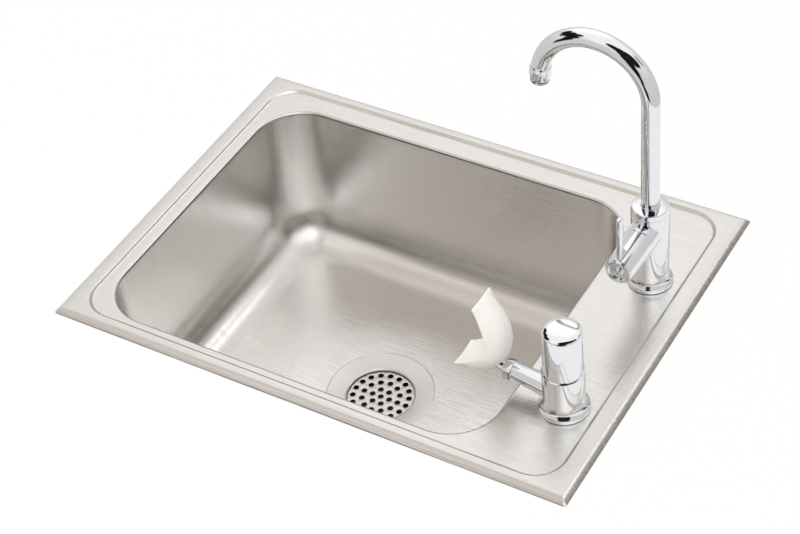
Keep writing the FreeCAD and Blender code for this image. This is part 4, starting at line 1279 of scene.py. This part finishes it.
        bends = [reach * (2 * step / self.STRIP_STEPS - 1) for step in range(self.STRIP_STEPS + 1)]
        tips = [math.pi * step / self.TIP_STEPS for step in range(1, self.TIP_STEPS)]
        return ([spot(bend, thin, 0) for bend in bends]
                + [spot(reach, thin * math.cos(tip), thin * math.sin(tip)) for tip in tips]
                + [spot(bend, -thin, 0) for bend in reversed(bends)]
                + [spot(-reach, -thin * math.cos(tip), -thin * math.sin(tip)) for tip in tips])

    def fan_rows(self) -> list[Vector]:
        """Rows of a smooth curve through the guard's fan."""
        fan = [Vector(row) for row in self.guard_fan]
        last = len(fan) - 1
        rows = []
        for index in range(last):
            before, start, end = fan[max(index - 1, 0)], fan[index], fan[index + 1]
            after = fan[min(index + 2, last)]
            for step in range(self.FAN_STEPS):
                share = step / self.FAN_STEPS
                rows.append(0.5 * (2 * start + (end - before) * share
                                   + (2 * before - 5 * start + 4 * end - after) * share ** 2
                                   + (3 * start - before - 3 * end + after) * share ** 3))
        return rows + [fan[-1]]

    def guard(self) -> None:
        """Draws the scoop-shaped mouth guard through its fan of sections, and drills it for the nozzle."""
        rows = self.fan_rows()
        thin = self.guard_wall / 2
        turns = [math.radians(turn) for turn in self.guard_rounding]
        rings = [self.guard_ring(*rows[0], math.cos(turn), thin * math.sin(turn)) for turn in turns]
        rings += [self.guard_ring(*row, 1.0, 0.0) for row in rows]
        for turn in reversed(turns):
            rings.append(self.guard_ring(*rows[-1], math.cos(turn), -thin * math.sin(turn)))
        piece = self.shop.loft("mouth_scoop", rings)
        with self.shop.editing(piece):
            bpy.ops.mesh.fill_holes(sides=0)
        self.shop.close(piece)
        low, _ = self.shop.span("bubbler_body")
        turn = math.radians(self.nozzle_angle)
        root = Vector((low.x - self.nozzle_run, self.axis.y, self.arm_tip_height + self.nozzle_rise))
        drill = self.shop.lathe("guard_drill", [
            (0, 0), (self.nozzle_hole, 0), (self.nozzle_hole, self.drill_length), (0, self.drill_length),
        ], root, (-math.cos(turn), 0, math.sin(turn)), steps=48)
        self.shop.modify(piece, "BOOLEAN", operation="DIFFERENCE", solver="EXACT", object=drill)
        bpy.data.objects.remove(drill)
        self.shop.settle(piece, "mouth_guard")


@dataclass
class Fixings(Assembly):
    """Seals, nuts, clips and inner pieces, which keep the shape that the frame gives them."""

    spring: str = "return_spring"
    spring_joint: str = "bubbler_push"
    spring_travel: float = 6.0

    def build(self) -> None:
        """Dresses every CAD node that nothing stands for yet."""
        for node in sorted(self.shop.undressed):
            piece = self.shop.cast(node)
            self.shop.settle(piece, node)
            if node == self.spring:
                self.compress(piece)

    def compress(self, piece: Piece) -> None:
        """Gives the spring a mesh of its own, and works out its span and lower end, which nothing uses.

        Args:
            piece: The spring.
        """
        low, high = self.shop.span(self.spring)
        foot = self.shop.upright(self.spring, low.z) * MM
        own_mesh(piece)


@dataclass(frozen=True)
class Patch:
    """A soft-edged light panel or dark place of the studio, round one direction.

    The azimuth runs from +X towards +Y. All angles are degrees.
    """

    azimuth: float
    elevation: float
    inner: float
    outer: float
    color: Color

    def axis(self) -> Vector:
        """The direction of the patch's middle."""
        turn, rise = math.radians(self.azimuth), math.radians(self.elevation)
        return Vector((math.cos(turn) * math.cos(rise), math.sin(turn) * math.cos(rise), math.sin(rise)))


NEAR_BLACK = (0.03, 0.027, 0.024)
BLACK_FLAGS = tuple(Patch(*place, grey(0.01)) for place in (
    (-60, 49, 20, 22), (-38, 46, 20, 23), (-14, 44, 15, 18), (-62, 30, 14, 17), (-66, 12, 14, 17),
    (-70, -4, 11, 15), (-152, 38, 12, 15), (-173, 36, 11, 14), (166, 33, 7, 10), (-139, 22, 9, 12),
    (-139, 6, 9, 12)))


@dataclass
class Studio(Assembly):
    """Worktop, light and camera; none of it belongs to the sink.

    Bands give the height of a direction and its colour, and later patches lie over earlier ones. The lamp's
    place and size and the clip distances are metres.
    """

    azimuth: float = 34.4267
    elevation: float = 43.3061
    roll: float = -6.4033
    lens: float = 92.148
    sensor: float = 36.0
    clip: Pair = (0.05, 50.0)
    target: Point = (-3.4011, -1.508, 0.0)
    distance: float = 2012.3107
    cutout_inset: float = 14.0
    worktop_growth: float = 20.0
    worktop_white: float = 0.94
    worktop_matt: float = 0.9
    sky_bands: tuple[tuple[float, Color], ...] = (
        (-0.60, grey(0.45)), (-0.42, grey(0.05)), (-0.04, grey(0.05)), (0.04, (0.52, 0.47, 0.42)),
        (0.65, (0.93, 0.92, 0.91)))
    sky_patches: tuple[Patch, ...] = (
        Patch(-130, 52, 14, 28, (0.76, 0.70, 0.63)),
        Patch(180, 68, 9, 18, (0.84, 0.79, 0.73)),
        Patch(119, 47, 5, 19, grey(1.27)),
        Patch(-118, 25, 12, 22, (0.52, 0.46, 0.40)),
        Patch(-114, 9, 13, 19, NEAR_BLACK),
        Patch(-124, 41, 6, 12, (0.96, 0.93, 0.90)),
        Patch(36, 7, 12, 17, NEAR_BLACK),
        Patch(43, 22, 8, 13, (0.24, 0.21, 0.18)),
        Patch(43, 37, 5, 9, grey(2.3)),
        Patch(54, 49, 6, 10, grey(2.3)),
        Patch(49, 43, 2, 5, (0.30, 0.27, 0.24)),
        Patch(-8, 41, 10, 22, grey(1.35)),
        Patch(-50, 43, 14, 26, grey(1.55)),
        Patch(-42, 33, 6, 11, grey(1.45)),
    )
    tent_middle: Point = (185.0, 60.0, 230.0)
    tent_radius: float = 340.0
    tent_foot: float = 7.5
    tent_floor_share: float = 0.99
    tent_first_pass: float = 0.5
    tent_bands: tuple[tuple[float, Color], ...] = ((-1.0, grey(0.66)), (0.15, grey(0.72)), (0.80, grey(1.06)))
    tent_patches: tuple[Patch, ...] = (
        Patch(124, 46, 16, 34, grey(1.24)),
        Patch(33, 32, 6, 12, (0.32, 0.30, 0.28)),
        *BLACK_FLAGS,
        Patch(-106, 40, 8, 13, grey(1.1)),
        Patch(-70, -28, 10, 14, grey(0.02)),
    )
    lamp: Point = (-0.6, -1.7, 1.9)
    lamp_size: float = 1.2
    lamp_watts: float = 17.0

    def build(self) -> None:
        """Sets up the worktop, the light and the camera."""
        bpy.context.scene.view_settings.view_transform = "Standard"
        self.worktop()
        self.sky()
        self.tent()
        self.key_light()
        self.camera()

    @staticmethod
    def glowing(piece: Piece, name: str) -> Graph:
        """Gives a piece a material that may glow but isn't sampled as a lamp.

        Args:
            piece: Piece of the stage.
            name: Name of the material.

        Returns:
            The material's empty graph.
        """
        material = bpy.data.materials.new(name)
        material.use_nodes = True
        material.cycles.emission_sampling = "NONE"
        piece.data.materials.append(material)
        return Graph(material.node_tree)

    def worktop(self) -> None:
        """Lays a worktop round the rim, clear from below, that is matt and glows only to sharp rays."""
        low, high = self.shop.span("sink_basin")
        top = self.shop.start("worktop", bpy.ops.mesh.primitive_plane_add, size=1)
        trim = 2 * self.cutout_inset
        top.scale = ((high.x - low.x - trim) * MM, (high.y - low.y - trim) * MM, 1)
        bpy.ops.object.transform_apply(scale=True)
        with self.shop.editing(top):
            bpy.ops.mesh.delete(type="ONLY_FACE")
            bpy.ops.mesh.select_all(action="SELECT")
            bpy.ops.mesh.extrude_edges_move()
            bpy.ops.transform.resize(value=(self.worktop_growth, self.worktop_growth, 1))
        self.shop.face_up(top)
        graph = self.glowing(top, "worktop_white")
        matt = graph.add("ShaderNodeBsdfDiffuse", {"Color": (*grey(self.worktop_matt), 1)}).outputs["BSDF"]
        glow = graph.add("ShaderNodeEmission", {"Color": (1, 1, 1, 1), "Strength": 1.0}).outputs["Emission"]
        rays = graph.add("ShaderNodeLightPath").outputs
        sharp = graph.math("MAXIMUM", rays["Is Camera Ray"], rays["Is Glossy Ray"])
        shown = graph.math("MAXIMUM", sharp, rays["Is Transmission Ray"])
        lit = graph.mixed(graph.math("MULTIPLY", shown, self.worktop_white), matt, glow)
        clear = graph.add("ShaderNodeBsdfTransparent").outputs["BSDF"]
        below = graph.add("ShaderNodeNewGeometry").outputs["Backfacing"]
        graph.add("ShaderNodeOutputMaterial", {"Surface": graph.mixed(below, lit, clear)})

    @staticmethod
    def painted(graph: Graph, toward: Socket, bands: Sequence[tuple[float, Color]],
                patches: Sequence[Patch]) -> Socket:
        """Paints directions with level bands and, over them, patches.

        Args:
            graph: Nodes to add to.
            toward: Socket with the direction, one unit long.
            bands: Height of the direction and colour of each stop.
            patches: Patches, the later ones over the earlier.

        Returns:
            The socket with the colour.
        """
        height = graph.axes(toward)["Z"]
        share = graph.add("ShaderNodeMapRange", {"Value": height, "From Min": -1.0, "From Max": 1.0})
        ramp = graph.add("ShaderNodeValToRGB", {"Fac": share.outputs["Result"]})
        stops = ramp.color_ramp.elements
        while len(stops) < len(bands):
            stops.new(1.0)
        for stop, (level, color) in zip(stops, bands):
            stop.position = (level + 1) / 2
            stop.color = (*color, 1)
        color = ramp.outputs["Color"]
        for patch in patches:
            near = graph.measure("DOT_PRODUCT", toward, patch.axis())
            edges = [math.cos(math.radians(angle)) for angle in (patch.outer, patch.inner)]
            color = graph.blend(graph.remap(near, 0, 1, *edges), color, (*patch.color, 1))
        return color

    def sky(self) -> None:
        """Paints the studio round the sink: brighter overhead, with light panels and dim places."""
        world = bpy.data.worlds.new("studio")
        world.use_nodes = True
        bpy.context.scene.world = world
        graph = Graph(world.node_tree)
        toward = graph.add("ShaderNodeTexCoord").outputs["Generated"]
        color = self.painted(graph, toward, self.sky_bands, self.sky_patches)
        light = graph.add("ShaderNodeBackground", {"Color": color, "Strength": 1.0})
        graph.add("ShaderNodeOutputWorld", {"Surface": light.outputs["Background"]})

    def tent(self) -> None:
        """Hangs a painted drum round the fittings, which only rays that start inside it show."""
        half = self.tent_middle[2] - self.tent_foot
        tent = self.shop.start("light_tent", bpy.ops.mesh.primitive_cylinder_add, vertices=64,
                               radius=self.tent_radius * MM, depth=2 * half * MM,
                               location=Vector(self.tent_middle) * MM)
        tent.visible_camera = tent.visible_diffuse = tent.visible_transmission = tent.visible_shadow = False
        graph = self.glowing(tent, "tent_cloth")
        place = graph.add("ShaderNodeTexCoord").outputs["Object"]
        color = self.painted(graph, graph.vector("NORMALIZE", place), self.tent_bands, self.tent_patches)
        glow = graph.add("ShaderNodeEmission", {"Color": color}).outputs["Emission"]
        passed = graph.add("ShaderNodeLightPath").outputs["Transparent Depth"]
        fresh = graph.math("LESS_THAN", passed, self.tent_first_pass)
        inside = graph.add("ShaderNodeNewGeometry").outputs["Backfacing"]
        above = graph.math("GREATER_THAN", graph.axes(place)["Z"], -self.tent_floor_share * half * MM)
        shown = graph.math("MULTIPLY", graph.math("MULTIPLY", fresh, inside), above)
        clear = graph.add("ShaderNodeBsdfTransparent").outputs["BSDF"]
        graph.add("ShaderNodeOutputMaterial", {"Surface": graph.mixed(shown, clear, glow)})

    def key_light(self) -> None:
        """Hangs one soft box in front, which lights matt surfaces and isn't mirrored."""
        bpy.ops.object.light_add(type="AREA", location=self.lamp)
        lamp = bpy.context.object
        lamp.name = "soft_box"
        lamp.data.size = self.lamp_size
        lamp.data.energy = self.lamp_watts
        lamp.visible_glossy = False
        lamp.rotation_euler = (-Vector(self.lamp)).to_track_quat("-Z", "Y").to_euler()

    def camera(self) -> None:
        """Puts the camera where the photograph was taken from."""
        turn, rise, roll = (math.radians(angle) for angle in (self.azimuth, self.elevation, self.roll))
        back = Vector((math.sin(turn) * math.cos(rise), -math.cos(turn) * math.cos(rise), math.sin(rise)))
        level = Vector((0, 0, 1)).cross(back).normalized()
        upright = back.cross(level)
        right = math.cos(roll) * level + math.sin(roll) * upright
        up = math.cos(roll) * upright - math.sin(roll) * level
        bpy.ops.object.camera_add()
        camera = bpy.context.object
        camera.name = "photo_camera"
        camera.data.sensor_width = self.sensor
        camera.data.sensor_fit = "HORIZONTAL"
        camera.data.lens = self.lens
        camera.data.clip_start, camera.data.clip_end = self.clip
        place = Matrix((right, up, back)).transposed().to_4x4()
        place.translation = (Vector(self.target) + back * self.distance) * MM
        camera.matrix_world = place
        bpy.context.scene.camera = camera


FINISHES: tuple[Finish, ...] = (
    BrushedSheet(Slot.SINK_STEEL, (0.71, 0.693, 0.672), 0.21, 0.02, 0.05, 0.2, relief_depth=0.0008),
    # Drain steel carries painted shade inside its cup, under the grid.
    ShadedDrainMetal(Slot.DRAIN_STEEL, (0.72, 0.695, 0.685), 0.33, 0.03, 0.05, 0.06,
                 axis=(-0.0335, -0.0195, 0.0)),
    Finish(Slot.CHROME, (0.81, 0.82, 0.84), 0.05, 0.015, 0.01, 0.0),
    Finish(Slot.ZINC_STEEL, (0.62, 0.63, 0.65), 0.38, 0.05, 0.06, 0.1),
    TurnedMetal(Slot.BRASS, (0.78, 0.62, 0.32), 0.3, 0.05, 0.06, 0.1),
    MouldedPlastic(Slot.RUBBER, (0.05, 0.05, 0.05), 0.7, 0.08, 0.15, 0.3),
    MouldedPlastic(Slot.NYLON, (0.86, 0.86, 0.82), 0.5, 0.05, 0.02, 0.1, depth=0.1),
    Finish(Slot.SPRING_STEEL, (0.66, 0.66, 0.67), 0.3, 0.05, 0.05, 0.1),
    MouldedPlastic(Slot.GUARD_PLASTIC, (0.93, 0.92, 0.88), 0.36, 0.04, 0.01, 0.03, depth=0.15),
)


def main() -> None:
    """Builds the sink's pieces in order, then the studio."""
    logging.basicConfig(level=logging.INFO, format="%(name)s: %(message)s")
    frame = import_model()
    shop = Workshop(frame, FINISHES)
    for assembly in (Basin, Drain, Tap, Bubbler, Fixings, Studio):
        assembly(shop).build()


if __name__ == "__main__":
    main()
